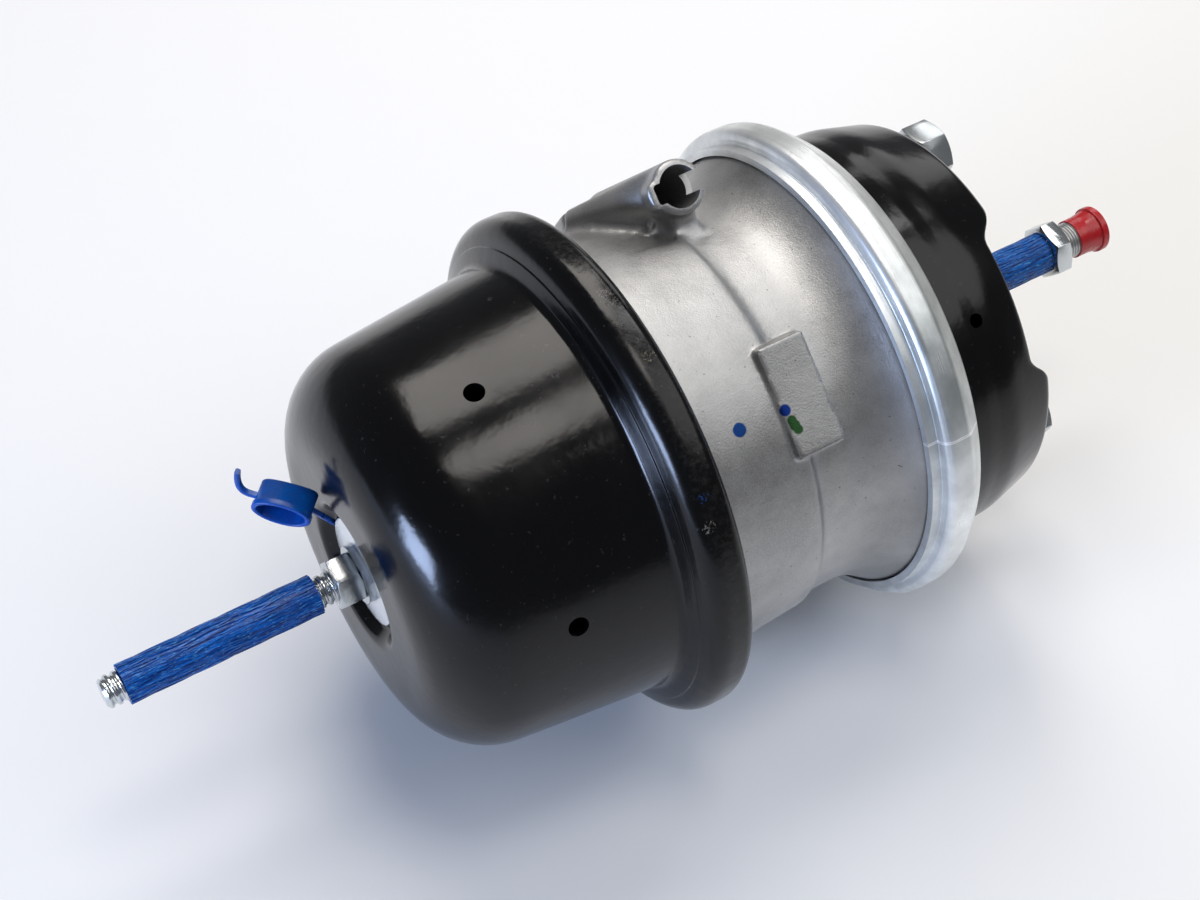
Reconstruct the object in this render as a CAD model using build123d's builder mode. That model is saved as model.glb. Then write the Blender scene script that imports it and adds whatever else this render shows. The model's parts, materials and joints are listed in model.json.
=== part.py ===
from build123d import *
from math import atan2, cos, degrees, radians, sin, sqrt
import os

# Combination (spring and service) air brake chamber, millimetres.
# The chamber's axis is X, with +X toward the push rod. The origin is on the axis, in the plane
# of the two mounting pads. Clock angles run from +Z toward +Y, seen along +X.

os.makedirs("parts", exist_ok=True)

# ------------------------------------------------------------------ driving dimensions
# Clearances
fit_clearance = 0.05          # running fits and threads, on the radius
loose_clearance = 0.3         # soft pieces and sleeves beside their neighbours
rim_clearance = 0.2           # formed rims over what they hold

# Clamped stack, from the mounting face toward the spring end
service_depth = 50.0          # mounting face to the outer face of the service flange
service_sheet = 3.0
service_bead = 5.0            # thickness of the service diaphragm's rim
case_length = 110.5
spring_bead = 5.4             # thickness of the spring diaphragm's rim at its outer edge
spring_sheet = 3.2
spring_depth = 98.1           # bead to the end face of the spring housing

# Service housing
service_wall_rise = 4.8       # wall over the case's waist
service_end_taper = 6.2       # loss of radius from the wall to the mounting face
service_end_corner = 5.0
service_shoulder_depth = 22.0
service_shoulder_taper = 0.7
service_shoulder_round = 30.0
service_flange_width = 6.3
channel_depth = 10.0
channel_floor_width = 53.0
channel_mouth_width = 68.0
channel_corner = 6.0
channel_land = 12.0           # width beside the channel's mouth that its rounding takes
rod_hole_radius = 16.0
vent_diameter = 5.7
vent_setback = 31.0

# Mounting studs and nuts
stud_pitch = 120.65
stud_diameter = 15.88
stud_thread_diameter = 15.4
stud_length = 35.0
stud_clock = 46.5
stud_hole_clearance = 0.25
stud_head_radius = 13.0
stud_head_height = 6.0
stud_nut_flats = 23.8
stud_nut_height = 14.0
stud_nut_seat = 19.5          # height of the nuts over the mounting face
stud_nut_clock = 38.0
stud_chamfer = 1.2

# Clamp ring
ring_sheet = 3.0
ring_lip_reach = 7.5
ring_shoulder_round = 2.0
ring_right_rise = 1.9         # ring's inner edge over the service housing's wall
ring_shoulder_setback = 6.9   # start of the ring's cone, left of the service flange's face

# Flange case
waist_radius = 84.3
waist_start = 57.5            # from the case's bead face
waist_length = 14.0
waist_round = 40.0
case_step_rise = 4.5          # over the waist
case_step_setback = 29.5
case_step_round = 60.0
case_neck_rise = 6.3          # over the waist, beside the crimped bead
bead_flange_rise = 11.8       # over the neck
bead_flange_thickness = 7.3
bead_flange_round = 2.0
flare_rise = 9.7              # over the waist, where the clamp ring starts
flare_lip = 1.0
case_collar_rise = 10.6       # over the waist
case_rim_rise = 6.0           # over the collar
case_rim_thickness = 6.0
spring_cavity_wall = 7.3      # at the partition, under the waist
spring_cavity_draft = 7.0     # gain of radius from the partition to the mouth
service_cavity_wall = 5.8
service_cavity_draft = 7.9
cavity_corner = 9.0
cavity_lip = 2.0
hub_root_round = 2.0
hub_edge_round = 1.0
partition_thickness = 12.0
partition_setback = 43.0      # service rim face of the case to the partition
hub_radius = 30.0
hub_spring_rise = 3.3
hub_service_rise = 3.0

# Raised band and cast pad on the flange case
band_setback = 14.0
band_length = 40.0
band_start_rise = 5.3         # over the waist
band_end_rise = 2.9
band_start_clock = -50.0
band_angle = 62.0
pad_clock = -41.5
pad_setback = 47.5
pad_length = 20.5
pad_width = 44.0
pad_corner = 1.5
pad_rise = 5.0                # over the waist

# Port boss and ports
port_clock = 60.0
boss_rise = 10.7              # boss's face over the waist
boss_root = 9.3               # boss's root under the waist
boss_length = 58.0
boss_width = 42.0
boss_draft = 12.0
boss_corner = 7.0
boss_edge_round = 2.0
port_spacing = 36.0
boss_shift = 3.0              # middle of the boss, spring side of the partition's middle
port_thread_radius = 7.15
port_thread_depth = 15.0
port_passage_diameter = 7.0

# Pocket that stores the release bolt
pocket_shift = 0.5            # pocket axis, service side of the boss's middle
pocket_clock = 48.2           # clock angle of the pocket's nearest point to the chamber axis
pocket_rise = 3.7             # pocket axis over the waist
pocket_bore_radius = 8.4
pocket_wall = 2.1
pocket_mouth = 57.3
pocket_depth = 75.0
pocket_key_width = 8.0
pocket_key_reach = 11.9
pocket_key_depth = 16.0
pocket_key_wall = 1.5
pocket_key_corner = 2.0
pocket_web_width = 11.0
pocket_web_end = 50.0
fairing_clock = 42.0          # small end of the fairing beside the pocket
fairing_rise = 8.4            # over the waist
fairing_setback = 28.0        # from the middle of the boss
fairing_end_radius = 4.5

# Centre bushing and its seals
bushing_wall = 4.3
bushing_overhang = 0.7
seal_section = 2.6
seal_spacing = 9.0

# Adapter push rod, its plate and its return spring
adapter_rod_radius = 12.7
adapter_spigot_radius = 8.0
adapter_rod_round = 2.0
adapter_plate_radius = 60.0
adapter_plate_thickness = 3.0
adapter_wire = 3.5
adapter_spring_small = 19.5
adapter_spring_large = 34.0
adapter_spring_turns = 4.5

# Diaphragms
diaphragm_sheet = 3.0
service_cup_depth = 37.0      # service rim face of the case to the diaphragm's outer face
spring_cup_depth = 21.5       # bead face of the case to the diaphragm's outer face
diaphragm_corner = 8.0

# Pressure plate and power spring
pressure_plate_gap = 5.0      # inside the case's spring cavity
pressure_plate_thickness = 10.0
keyed_boss_radius = 28.0
keyed_boss_height = 15.0
keyed_wall = 10.0
keyed_web = 2.7
power_wire = 15.0
power_spring_small = 44.0
power_spring_large = 60.0
power_spring_turns = 3.8

# Push plate, push rod and service return spring
push_plate_gap = 10.5         # inside the case's service cavity
push_plate_thickness = 3.0
rod_foot_radius = 14.0
rod_foot_height = 5.0
rod_diameter = 15.875
rod_tip = 91.0
rod_chamfer = 1.2
service_wire = 4.5
service_spring_small = 27.0
service_spring_large = 42.0
service_spring_turns = 4.0

# Push rod's packing sleeve, jam nut and cap
rod_sleeve_diameter = 18.3
rod_sleeve_start = -24.0
jam_nut_seat = 64.5
jam_nut_flats = 22.2
jam_nut_height = 8.5
jam_nut_clock = -40.0
cap_start = 80.5
cap_wall = 0.6
cap_end = 95.0
cap_flange_radius = 10.25
cap_flange_width = 3.4

# Spring housing
spring_wall_taper = 0.104     # loss of radius for each millimetre toward the end
spring_corner = 34.0
bead_clearance = 0.6          # inside of the bead's crest over the case's flange
bead_foot_setback = 6.5       # foot of the bead's flank, left of the diaphragm's rim
bead_flank_run = 6.0
bead_round = 9.0
bead_shoulder = 5.0
curl_rise = 2.6               # curled edge over the case's neck
dish_depth = 6.0
dish_mouth_radius = 30.0
dish_floor_radius = 26.0
drain_diameter = 8.0
drain_setback = 51.8
drain_clocks = (-6.9, -71.2)

# Release bolt set
bolt_diameter = 12.7
bolt_reach = 102.4            # tip of the bolt, outside the spring housing's end face
lug_length = 22.0
lug_width = 8.0
lug_height = 8.0
key_clearance = 0.5           # keyed slots around the bolt's lugs, on each side
end_plate_radius = 22.5
end_plate_thickness = 2.2
washer_radius = 12.0
washer_thickness = 3.0
release_nut_flats = 19.05
release_nut_height = 10.1
release_nut_clock = -39.0
bolt_sleeve_diameter = 16.4
bolt_sleeve_start = 8.1       # outer end of the sleeve, from the bolt's tip
bolt_sleeve_gap = 6.7         # inner end of the sleeve, from the release nut

# Dust plug, hanging by its strap in front of the spring housing
plug_width = 22.0
plug_thickness = 12.0
plug_length = 12.0
plug_wall = 1.4
plug_rim = 0.7
plug_rim_width = 2.4
plug_setback = 13.5           # centre of the plug, outside the spring housing's end face
plug_side = 23.8
plug_height = 28.5
plug_mouth_heading = (-0.682, -0.730, -0.053)
plug_width_heading = (0.721, -0.673, -0.166)
strap_width = 2.2
strap_thickness = 1.5
strap_anchor_clock = 83.0
tail_reach = 6.5
tail_rise = 11.0

# ------------------------------------------------------------------ derived radii
case_neck_radius = waist_radius + case_neck_rise
bead_flange_radius = case_neck_radius + bead_flange_rise
case_collar_radius = waist_radius + case_collar_rise
case_rim_radius = case_collar_radius + case_rim_rise
spring_cavity_floor = waist_radius - spring_cavity_wall
spring_cavity_mouth = spring_cavity_floor + spring_cavity_draft
service_cavity_floor = waist_radius - service_cavity_wall
service_cavity_mouth = service_cavity_floor + service_cavity_draft
boss_face_height = waist_radius + boss_rise
boss_root_height = waist_radius - boss_root
pocket_offset = waist_radius + pocket_rise

service_wall_radius = waist_radius + service_wall_rise
service_flange_radius = service_wall_radius + service_flange_width
ring_right_radius = service_wall_radius + ring_right_rise

spring_wall_radius = case_neck_radius - rim_clearance
bead_crest_radius = bead_flange_radius + bead_clearance + spring_sheet
curl_radius = case_neck_radius + curl_rise

# ------------------------------------------------------------------ derived stations
service_flange_face = -service_depth
service_rim_face = service_flange_face - service_sheet
case_service_face = service_rim_face - service_bead
case_bead_face = case_service_face - case_length
bead_face = case_bead_face - spring_bead
spring_end_face = bead_face - spring_depth
partition_service_face = case_service_face - partition_setback
partition_spring_face = partition_service_face - partition_thickness
hub_service_face = partition_service_face + hub_service_rise
hub_spring_face = partition_spring_face - hub_spring_rise

service_disc_face = case_service_face - service_cup_depth
push_plate_face = service_disc_face + diaphragm_sheet + loose_clearance
adapter_rod_end = service_disc_face - loose_clearance
spring_disc_face = case_bead_face - spring_cup_depth
adapter_plate_face = spring_disc_face + diaphragm_sheet + loose_clearance
pressure_face = spring_disc_face - loose_clearance
pressure_back = pressure_face - pressure_plate_thickness

dish_floor = spring_end_face + dish_depth
end_plate_face = dish_floor - end_plate_thickness
washer_face = end_plate_face - washer_thickness
release_nut_face = washer_face - release_nut_height
bolt_tip = spring_end_face - bolt_reach
key_wall_face = pressure_back - keyed_boss_height + keyed_wall
lug_seat = key_wall_face + loose_clearance


def radial(clock, distance, x=0.0):
    """Point at this distance from the axis and this clock angle."""
    return Vector(x, distance * sin(radians(clock)), distance * cos(radians(clock)))


def facing(clock, distance, x=0.0):
    """Plane that faces outward at this clock angle, with its local x along the axis."""
    return Plane(origin=radial(clock, distance, x), x_dir=(1, 0, 0), z_dir=radial(clock, 1.0))


def nut_barrel(start, height, flats):
    """Half section of the barrel that rounds a nut's corners off at both faces."""
    corner = flats / sqrt(3)
    face = 0.475 * flats
    bevel = 0.55 * (corner - face)
    end = start + height
    return (
        (start, 0), (start, face), (start + bevel, corner),
        (end - bevel, corner), (end, face), (end, 0),
    )


def section_plane(path):
    """Plane across a path's start."""
    return Plane(origin=path @ 0, z_dir=path % 0)


# ------------------------------------------------------------------ service housing
channel_clock = stud_clock - 90
stud_axis = radial(stud_clock, 1.0)
channel_axis = radial(channel_clock, 1.0)

with BuildPart() as service_housing:
    with BuildSketch(Plane.XZ):
        with BuildLine():
            FilletPolyline(
                (service_rim_face, 0),
                (service_rim_face, service_wall_radius),
                (-service_shoulder_depth, service_wall_radius - service_shoulder_taper),
                (0, service_wall_radius - service_end_taper),
                (0, 0),
                radius=(0, service_shoulder_round, service_end_corner),
            )
            Line((0, 0), (service_rim_face, 0))
        make_face()
    revolve(axis=Axis.X)
    # relief channel pressed into the end, between the two mounting pads
    with BuildSketch(Plane(origin=(0, 0, 0), x_dir=stud_axis, z_dir=channel_axis)):
        with BuildLine():
            land = channel_mouth_width / 2 + channel_land
            channel = FilletPolyline(
                (-land, 0),
                (-channel_mouth_width / 2, 0),
                (-channel_floor_width / 2, channel_depth),
                (channel_floor_width / 2, channel_depth),
                (channel_mouth_width / 2, 0),
                (land, 0),
                radius=channel_corner,
            )
            Polyline(channel @ 1, (land, -1), (-land, -1), channel @ 0)
        make_face()
    extrude(amount=service_wall_radius + 1, both=True, mode=Mode.SUBTRACT)
    open_face = service_housing.faces().sort_by(Axis.X)[0]
    offset(amount=-service_sheet, openings=open_face)
    # flange that the clamp ring holds
    with BuildSketch(Plane.YZ.offset(service_rim_face)):
        Circle(service_flange_radius)
        Circle(service_wall_radius - service_sheet / 2, mode=Mode.SUBTRACT)
    extrude(amount=service_sheet)
    bend = service_housing.edges().filter_by(GeomType.CIRCLE).filter_by_position(
        Axis.X, service_flange_face, service_flange_face
    )
    fillet(bend.sort_by(SortBy.RADIUS)[0], radius=0.9 * (ring_right_radius - service_wall_radius))
    with BuildSketch(Plane.YZ):
        Circle(rod_hole_radius)
        with Locations((stud_pitch / 2 * stud_axis.Y, stud_pitch / 2 * stud_axis.Z),
                       (-stud_pitch / 2 * stud_axis.Y, -stud_pitch / 2 * stud_axis.Z)):
            Circle(stud_diameter / 2 + stud_hole_clearance)
    extrude(amount=-channel_depth - 2 * service_sheet, mode=Mode.SUBTRACT)
    for vent_clock in (channel_clock, channel_clock + 180):
        with BuildSketch(facing(vent_clock, service_wall_radius - 3 * service_sheet, -vent_setback)):
            Circle(vent_diameter / 2)
        extrude(amount=4 * service_sheet, mode=Mode.SUBTRACT)
service_housing.part.label = "service_housing"
export_step(service_housing.part, "parts/service_housing.step")

# ------------------------------------------------------------------ mounting studs
with BuildPart() as mounting_studs:
    for side in (1, -1):
        centre = radial(stud_clock, side * stud_pitch / 2)
        with BuildSketch(Plane.YZ.offset(-service_sheet - stud_head_height)):
            with Locations((centre.Y, centre.Z)):
                Circle(stud_head_radius)
        extrude(amount=stud_head_height)
        with BuildSketch(Plane.YZ.offset(-service_sheet)):
            with Locations((centre.Y, centre.Z)):
                Circle(stud_thread_diameter / 2)
        extrude(amount=service_sheet + stud_length)
        with BuildSketch(Plane.YZ):
            with Locations((centre.Y, centre.Z)):
                Circle(stud_diameter / 2)
        extrude(amount=stud_nut_seat)
    tips = mounting_studs.faces().group_by(Axis.X)[-1]
    chamfer(tips.edges(), length=stud_chamfer)
mounting_studs.part.label = "mounting_studs"
export_step(mounting_studs.part, "parts/mounting_studs.step")

# ------------------------------------------------------------------ nuts on the mounting studs
with BuildPart() as stud_nut:
    with BuildSketch(Plane.YZ.offset(stud_nut_seat)):
        RegularPolygon(stud_nut_flats / 2, 6, major_radius=False, rotation=90 - stud_nut_clock)
        Circle(stud_thread_diameter / 2 + fit_clearance, mode=Mode.SUBTRACT)
    extrude(amount=stud_nut_height)
    with BuildSketch(Plane.XZ):
        with BuildLine():
            Polyline(nut_barrel(stud_nut_seat, stud_nut_height, stud_nut_flats), close=True)
        make_face()
    revolve(axis=Axis.X, mode=Mode.INTERSECT)

with BuildPart() as stud_nuts:
    with Locations(radial(stud_clock, stud_pitch / 2), radial(stud_clock, -stud_pitch / 2)):
        add(stud_nut.part)
stud_nuts.part.label = "stud_nuts"
export_step(stud_nuts.part, "parts/stud_nuts.step")

# ------------------------------------------------------------------ clamp ring
ring_lip_face = case_service_face - case_rim_thickness - ring_lip_reach
ring_seat = case_service_face - case_rim_thickness
ring_bore = case_rim_radius + rim_clearance
ring_cone_start = service_flange_face - ring_shoulder_setback
ring_collar = case_collar_radius + 2 * rim_clearance

with BuildPart() as clamp_ring:
    with BuildSketch(Plane.XZ):
        with BuildLine():
            hoop = FilletPolyline(
                (ring_lip_face, ring_collar),
                (ring_seat, ring_collar),
                (ring_seat, ring_bore),
                (ring_cone_start, ring_bore),
                (service_flange_face, service_flange_radius + rim_clearance),
                (service_flange_face, ring_right_radius),
                radius=(0, rim_clearance / 2, ring_shoulder_round, rim_clearance / 2),
            )
            offset(hoop, amount=ring_sheet, side=Side.LEFT)
        make_face()
    revolve(axis=Axis.X)
clamp_ring.part.label = "clamp_ring"
export_step(clamp_ring.part, "parts/clamp_ring.step")

# ------------------------------------------------------------------ flange case
neck_face = case_bead_face + bead_flange_thickness
waist_left = case_bead_face + waist_start
waist_right = waist_left + waist_length
boss_centre = (partition_service_face + partition_spring_face) / 2 - boss_shift
pocket_x = boss_centre + pocket_shift
pocket_foot = radial(pocket_clock, pocket_offset, pocket_x)
pocket_axis = radial(pocket_clock - 90, 1.0)
pocket_plane = Plane(origin=pocket_foot, x_dir=(1, 0, 0), z_dir=pocket_axis)
pocket_floor = pocket_mouth - pocket_depth
bushing_bore = adapter_rod_radius + fit_clearance
bushing_radius = bushing_bore + bushing_wall

with BuildPart() as flange_case:
    with BuildSketch(Plane.XZ):
        with BuildLine():
            barrel = FilletPolyline(
                (case_bead_face, 0),
                (case_bead_face, bead_flange_radius),
                (neck_face, bead_flange_radius),
                (neck_face, case_neck_radius),
                (case_bead_face + case_step_setback, waist_radius + case_step_rise),
                (waist_left, waist_radius),
                (waist_right, waist_radius),
                radius=(
                    bead_flange_round, bead_flange_round, bead_flange_round, case_step_round, waist_round
                ),
            )
            flare_end = (ring_lip_face, waist_radius + flare_rise)
            TangentArc(barrel @ 1, flare_end, tangent=barrel % 1)
            Polyline(
                flare_end,
                (ring_lip_face + flare_lip, case_collar_radius),
                (ring_seat, case_collar_radius),
                (ring_seat, case_rim_radius),
                (case_service_face, case_rim_radius),
                (case_service_face, 0),
                (case_bead_face, 0),
            )
        make_face()
    revolve(axis=Axis.X)

    # raised band around part of the barrel
    band_left = case_bead_face + band_setback
    band_plane = Plane(
        origin=(0, 0, 0), x_dir=(1, 0, 0), z_dir=radial(band_start_clock - 90, 1.0)
    )
    with BuildSketch(band_plane):
        with BuildLine():
            Polyline(
                (band_left, spring_cavity_mouth),
                (band_left, waist_radius + band_start_rise),
                (band_left + band_length, waist_radius + band_end_rise),
                (band_left + band_length, spring_cavity_mouth),
                close=True,
            )
        make_face()
    revolve(axis=Axis.X, revolution_arc=-band_angle)

    # flat rectangular pad
    pad_centre = case_bead_face + pad_setback + pad_length / 2
    with BuildSketch(facing(pad_clock, boss_root_height, pad_centre)):
        RectangleRounded(pad_length, pad_width, pad_corner)
    extrude(amount=waist_radius + pad_rise - boss_root_height)

    # boss for the two air ports
    with BuildSketch(facing(port_clock, boss_root_height, boss_centre)):
        RectangleRounded(boss_length, boss_width, boss_corner)
    extrude(amount=boss_face_height - boss_root_height, taper=boss_draft)
    boss_face = flange_case.faces().sort_by(Axis((0, 0, 0), tuple(radial(port_clock, 1.0))))[-1]
    fillet(boss_face.edges(), radius=boss_edge_round)

    # pocket that stores the release bolt, with its web down to the barrel
    with BuildSketch(pocket_plane.offset(pocket_floor - pocket_wall)):
        Circle(pocket_bore_radius + pocket_wall)
    extrude(amount=pocket_depth + pocket_wall)
    with BuildSketch(pocket_plane.offset(pocket_floor)):
        with Locations((0, -pocket_bore_radius)):
            Rectangle(pocket_web_width, 2 * pocket_bore_radius, align=(Align.CENTER, Align.MAX))
    extrude(amount=pocket_web_end - pocket_floor)
    with BuildSketch(pocket_plane.offset(pocket_mouth - pocket_key_depth)):
        with Locations((-pocket_key_reach / 2, 0)):
            RectangleRounded(
                pocket_key_reach + 2 * pocket_key_wall,
                pocket_key_width + 2 * pocket_key_wall,
                pocket_key_corner,
            )
    extrude(amount=pocket_key_depth)
    # fairing from the pocket's flank down to the end of the port boss
    fairing_wide = pocket_plane.offset(pocket_mouth - pocket_key_depth)
    fairing_end = radial(fairing_clock, waist_radius + fairing_rise, boss_centre - fairing_setback)
    fairing_run = fairing_wide.origin - fairing_end
    with BuildSketch(Plane(origin=fairing_end, x_dir=pocket_plane.y_dir, z_dir=fairing_run)):
        Circle(fairing_end_radius)
    with BuildSketch(fairing_wide):
        Circle(pocket_bore_radius + pocket_wall)
    loft(ruled=True)

    # chambers on both sides of the partition
    with BuildSketch(Plane.XZ):
        with BuildLine():
            FilletPolyline(
                (case_bead_face, 0),
                (case_bead_face, spring_cavity_mouth),
                (partition_spring_face, spring_cavity_floor),
                (partition_spring_face, hub_radius),
                (hub_spring_face, hub_radius),
                (hub_spring_face, 0),
                radius=(0, cavity_corner, hub_root_round, hub_edge_round),
            )
            Line((hub_spring_face, 0), (case_bead_face, 0))
        make_face()
    revolve(axis=Axis.X, mode=Mode.SUBTRACT)
    with BuildSketch(Plane.XZ):
        with BuildLine():
            FilletPolyline(
                (case_service_face, 0),
                (case_service_face, service_cavity_mouth),
                (partition_service_face, service_cavity_floor),
                (partition_service_face, hub_radius),
                (hub_service_face, hub_radius),
                (hub_service_face, 0),
                radius=(0, cavity_corner, hub_root_round, hub_edge_round),
            )
            Line((hub_service_face, 0), (case_service_face, 0))
        make_face()
    revolve(axis=Axis.X, mode=Mode.SUBTRACT)

    mouth = flange_case.edges().filter_by(GeomType.CIRCLE).group_by(Axis.X)[-1]
    fillet(mouth.sort_by(SortBy.RADIUS)[0], radius=cavity_lip)

    # bore for the bushing
    with BuildSketch(Plane.YZ.offset(hub_spring_face)):
        Circle(bushing_radius + fit_clearance)
    extrude(amount=hub_service_face - hub_spring_face, mode=Mode.SUBTRACT)

    # spring port and service port
    for port_x in (boss_centre - port_spacing / 2, boss_centre + port_spacing / 2):
        with BuildSketch(facing(port_clock, boss_face_height, port_x)):
            Circle(port_thread_radius)
        extrude(amount=-port_thread_depth, mode=Mode.SUBTRACT)
        with BuildSketch(facing(port_clock, boss_face_height - port_thread_depth, port_x)):
            Circle(port_passage_diameter / 2)
        extrude(amount=port_thread_depth - boss_root_height / 2, mode=Mode.SUBTRACT)

    # bore and key slots of the pocket
    with BuildSketch(pocket_plane.offset(pocket_floor)):
        Circle(pocket_bore_radius)
    extrude(amount=pocket_depth, mode=Mode.SUBTRACT)
    with BuildSketch(pocket_plane.offset(pocket_mouth - pocket_key_depth + pocket_wall)):
        Rectangle(2 * pocket_key_reach, pocket_key_width)
    extrude(amount=pocket_key_depth, mode=Mode.SUBTRACT)
flange_case.part.label = "flange_case"
export_step(flange_case.part, "parts/flange_case.step")

# ------------------------------------------------------------------ centre bushing and seals
bushing_left = hub_spring_face - bushing_overhang
bushing_right = hub_service_face + bushing_overhang
bushing_centre = (bushing_left + bushing_right) / 2
seal_radius = adapter_rod_radius + loose_clearance + seal_section / 2
seal_places = (bushing_centre - seal_spacing / 2, bushing_centre + seal_spacing / 2)

with BuildPart() as center_bushing:
    with BuildSketch(Plane.YZ.offset(bushing_left)):
        Circle(bushing_radius)
        Circle(bushing_bore, mode=Mode.SUBTRACT)
    extrude(amount=bushing_right - bushing_left)
    for seal_x in seal_places:
        with BuildSketch(Plane.YZ.offset(seal_x - seal_section / 2 - fit_clearance)):
            Circle(seal_radius + seal_section / 2 + fit_clearance)
        extrude(amount=seal_section + 2 * fit_clearance, mode=Mode.SUBTRACT)
center_bushing.part.label = "center_bushing"
export_step(center_bushing.part, "parts/center_bushing.step")

with BuildPart() as center_seals:
    for seal_x in seal_places:
        with BuildSketch(Plane.XZ):
            with Locations((seal_x, seal_radius)):
                Circle(seal_section / 2)
        revolve(axis=Axis.X)
center_seals.part.label = "center_seals"
export_step(center_seals.part, "parts/center_seals.step")

# ------------------------------------------------------------------ adapter push rod and plate
adapter_plate_right = adapter_plate_face + adapter_plate_thickness

with BuildPart() as adapter_push_rod:
    with BuildSketch(Plane.YZ.offset(adapter_plate_face)):
        Circle(adapter_spigot_radius)
    extrude(amount=adapter_plate_thickness)
    with BuildSketch(Plane.YZ.offset(adapter_plate_right)):
        Circle(adapter_rod_radius)
    extrude(amount=adapter_rod_end - adapter_plate_right)
    tip = adapter_push_rod.faces().sort_by(Axis.X)[-1]
    fillet(tip.edges(), radius=adapter_rod_round)
adapter_push_rod.part.label = "adapter_push_rod"
export_step(adapter_push_rod.part, "parts/adapter_push_rod.step")

with BuildPart() as adapter_plate:
    with BuildSketch(Plane.YZ.offset(adapter_plate_face)):
        Circle(adapter_plate_radius)
        Circle(adapter_spigot_radius + fit_clearance, mode=Mode.SUBTRACT)
    extrude(amount=adapter_plate_thickness)
    rim = adapter_plate.edges().filter_by(GeomType.CIRCLE).group_by(SortBy.RADIUS)[-1]
    fillet(rim.sort_by(Axis.X)[0], radius=0.6 * adapter_plate_thickness)
adapter_plate.part.label = "adapter_plate"
export_step(adapter_plate.part, "parts/adapter_plate.step")


def coil(left, right, left_radius, right_radius, turns, wire):
    """Conical spring between two seats, with its end coils ground flat against them."""
    start = left + wire / 4
    height = right - left - wire / 2
    cone = degrees(atan2(right_radius - left_radius, height))
    with BuildPart() as spring:
        with BuildLine():
            centreline = Helix(
                height / turns,
                height,
                left_radius,
                center=(start, 0, 0),
                direction=(1, 0, 0),
                cone_angle=cone,
            )
        with BuildSketch(section_plane(centreline)):
            Circle(wire / 2)
        sweep(path=centreline, is_frenet=True)
        reach = max(left_radius, right_radius) + wire
        with BuildSketch(Plane.YZ.offset(left)):
            Circle(reach)
        extrude(amount=right - left, mode=Mode.INTERSECT)
    return spring.part


adapter_return_spring = coil(
    adapter_plate_right,
    partition_spring_face,
    adapter_spring_small,
    adapter_spring_large,
    adapter_spring_turns,
    adapter_wire,
)
adapter_return_spring.label = "adapter_return_spring"
export_step(adapter_return_spring, "parts/adapter_return_spring.step")

# ------------------------------------------------------------------ diaphragms
with BuildPart() as service_diaphragm:
    with BuildSketch(Plane.XZ):
        with BuildLine():
            wall_radius = service_cavity_mouth - loose_clearance
            foot_radius = service_cavity_floor - 2 * loose_clearance
            skin = FilletPolyline(
                (service_disc_face, 0),
                (service_disc_face, foot_radius),
                (case_service_face, wall_radius),
                (case_service_face, service_flange_radius + service_bead / 2),
                radius=(diaphragm_corner, cavity_lip),
            )
            offset(skin, amount=diaphragm_sheet, side=Side.RIGHT)
        make_face()
        with BuildLine():
            Polyline(
                (case_service_face, service_wall_radius),
                (case_service_face, service_flange_radius + service_bead / 2),
                (service_rim_face, service_flange_radius + service_bead / 2),
                (service_rim_face, service_wall_radius),
                close=True,
            )
        make_face()
    revolve(axis=Axis.X)
service_diaphragm.part.label = "service_diaphragm"
export_step(service_diaphragm.part, "parts/service_diaphragm.step")

flank_lean = bead_flank_run / (bead_crest_radius - spring_wall_radius)
flank_foot = bead_face - bead_foot_setback
flank_thickness = spring_sheet * sqrt(1 + flank_lean**2)


def flank_inside(radius):
    """Inner face of the spring housing's slanted bead flank at this radius."""
    return flank_foot + (radius - spring_wall_radius) * flank_lean + flank_thickness


with BuildPart() as spring_diaphragm:
    with BuildSketch(Plane.XZ):
        with BuildLine():
            disc_right = spring_disc_face + diaphragm_sheet
            skin = FilletPolyline(
                (disc_right, 0),
                (disc_right, spring_cavity_floor),
                (case_bead_face, spring_cavity_mouth),
                (case_bead_face, curl_radius),
                radius=(diaphragm_corner, 1),
            )
            offset(skin, amount=diaphragm_sheet, side=Side.LEFT)
        make_face()
        # wedge-shaped bead between the case and the slanted flank of the housing
        bead_top = bead_flange_radius - rim_clearance
        flank_top = bead_crest_radius - bead_round + 2
        flank_bottom = curl_radius + 1
        with BuildLine():
            Polyline(
                (case_bead_face, flank_bottom - diaphragm_sheet),
                (case_bead_face, bead_top),
                (flank_inside(flank_top) + rim_clearance, flank_top),
                (flank_inside(flank_bottom) + rim_clearance, flank_bottom),
                (case_bead_face - diaphragm_sheet, flank_bottom - diaphragm_sheet),
                close=True,
            )
        make_face()
    revolve(axis=Axis.X)
spring_diaphragm.part.label = "spring_diaphragm"
export_step(spring_diaphragm.part, "parts/spring_diaphragm.step")

# ------------------------------------------------------------------ pressure plate
with BuildPart() as pressure_plate:
    with BuildSketch(Plane.YZ.offset(pressure_back)):
        Circle(spring_cavity_floor - pressure_plate_gap)
    extrude(amount=pressure_plate_thickness)
    rim = pressure_plate.edges().filter_by(GeomType.CIRCLE).sort_by(Axis.X)[-1]
    fillet(rim, radius=0.5 * pressure_plate_thickness)
    with BuildSketch(Plane.YZ.offset(pressure_back - keyed_boss_height)):
        Circle(keyed_boss_radius)
    extrude(amount=keyed_boss_height)
    with BuildSketch(Plane.YZ.offset(key_wall_face)):
        Circle(lug_length / 2 + 3 * key_clearance)
    extrude(amount=pressure_face - keyed_web - key_wall_face, mode=Mode.SUBTRACT)
    with BuildSketch(Plane.YZ.offset(pressure_back - keyed_boss_height)):
        Circle(bolt_diameter / 2 + key_clearance)
        Rectangle(lug_length + 2 * key_clearance, lug_width + 2 * key_clearance)
    extrude(amount=keyed_wall, mode=Mode.SUBTRACT)
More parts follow.
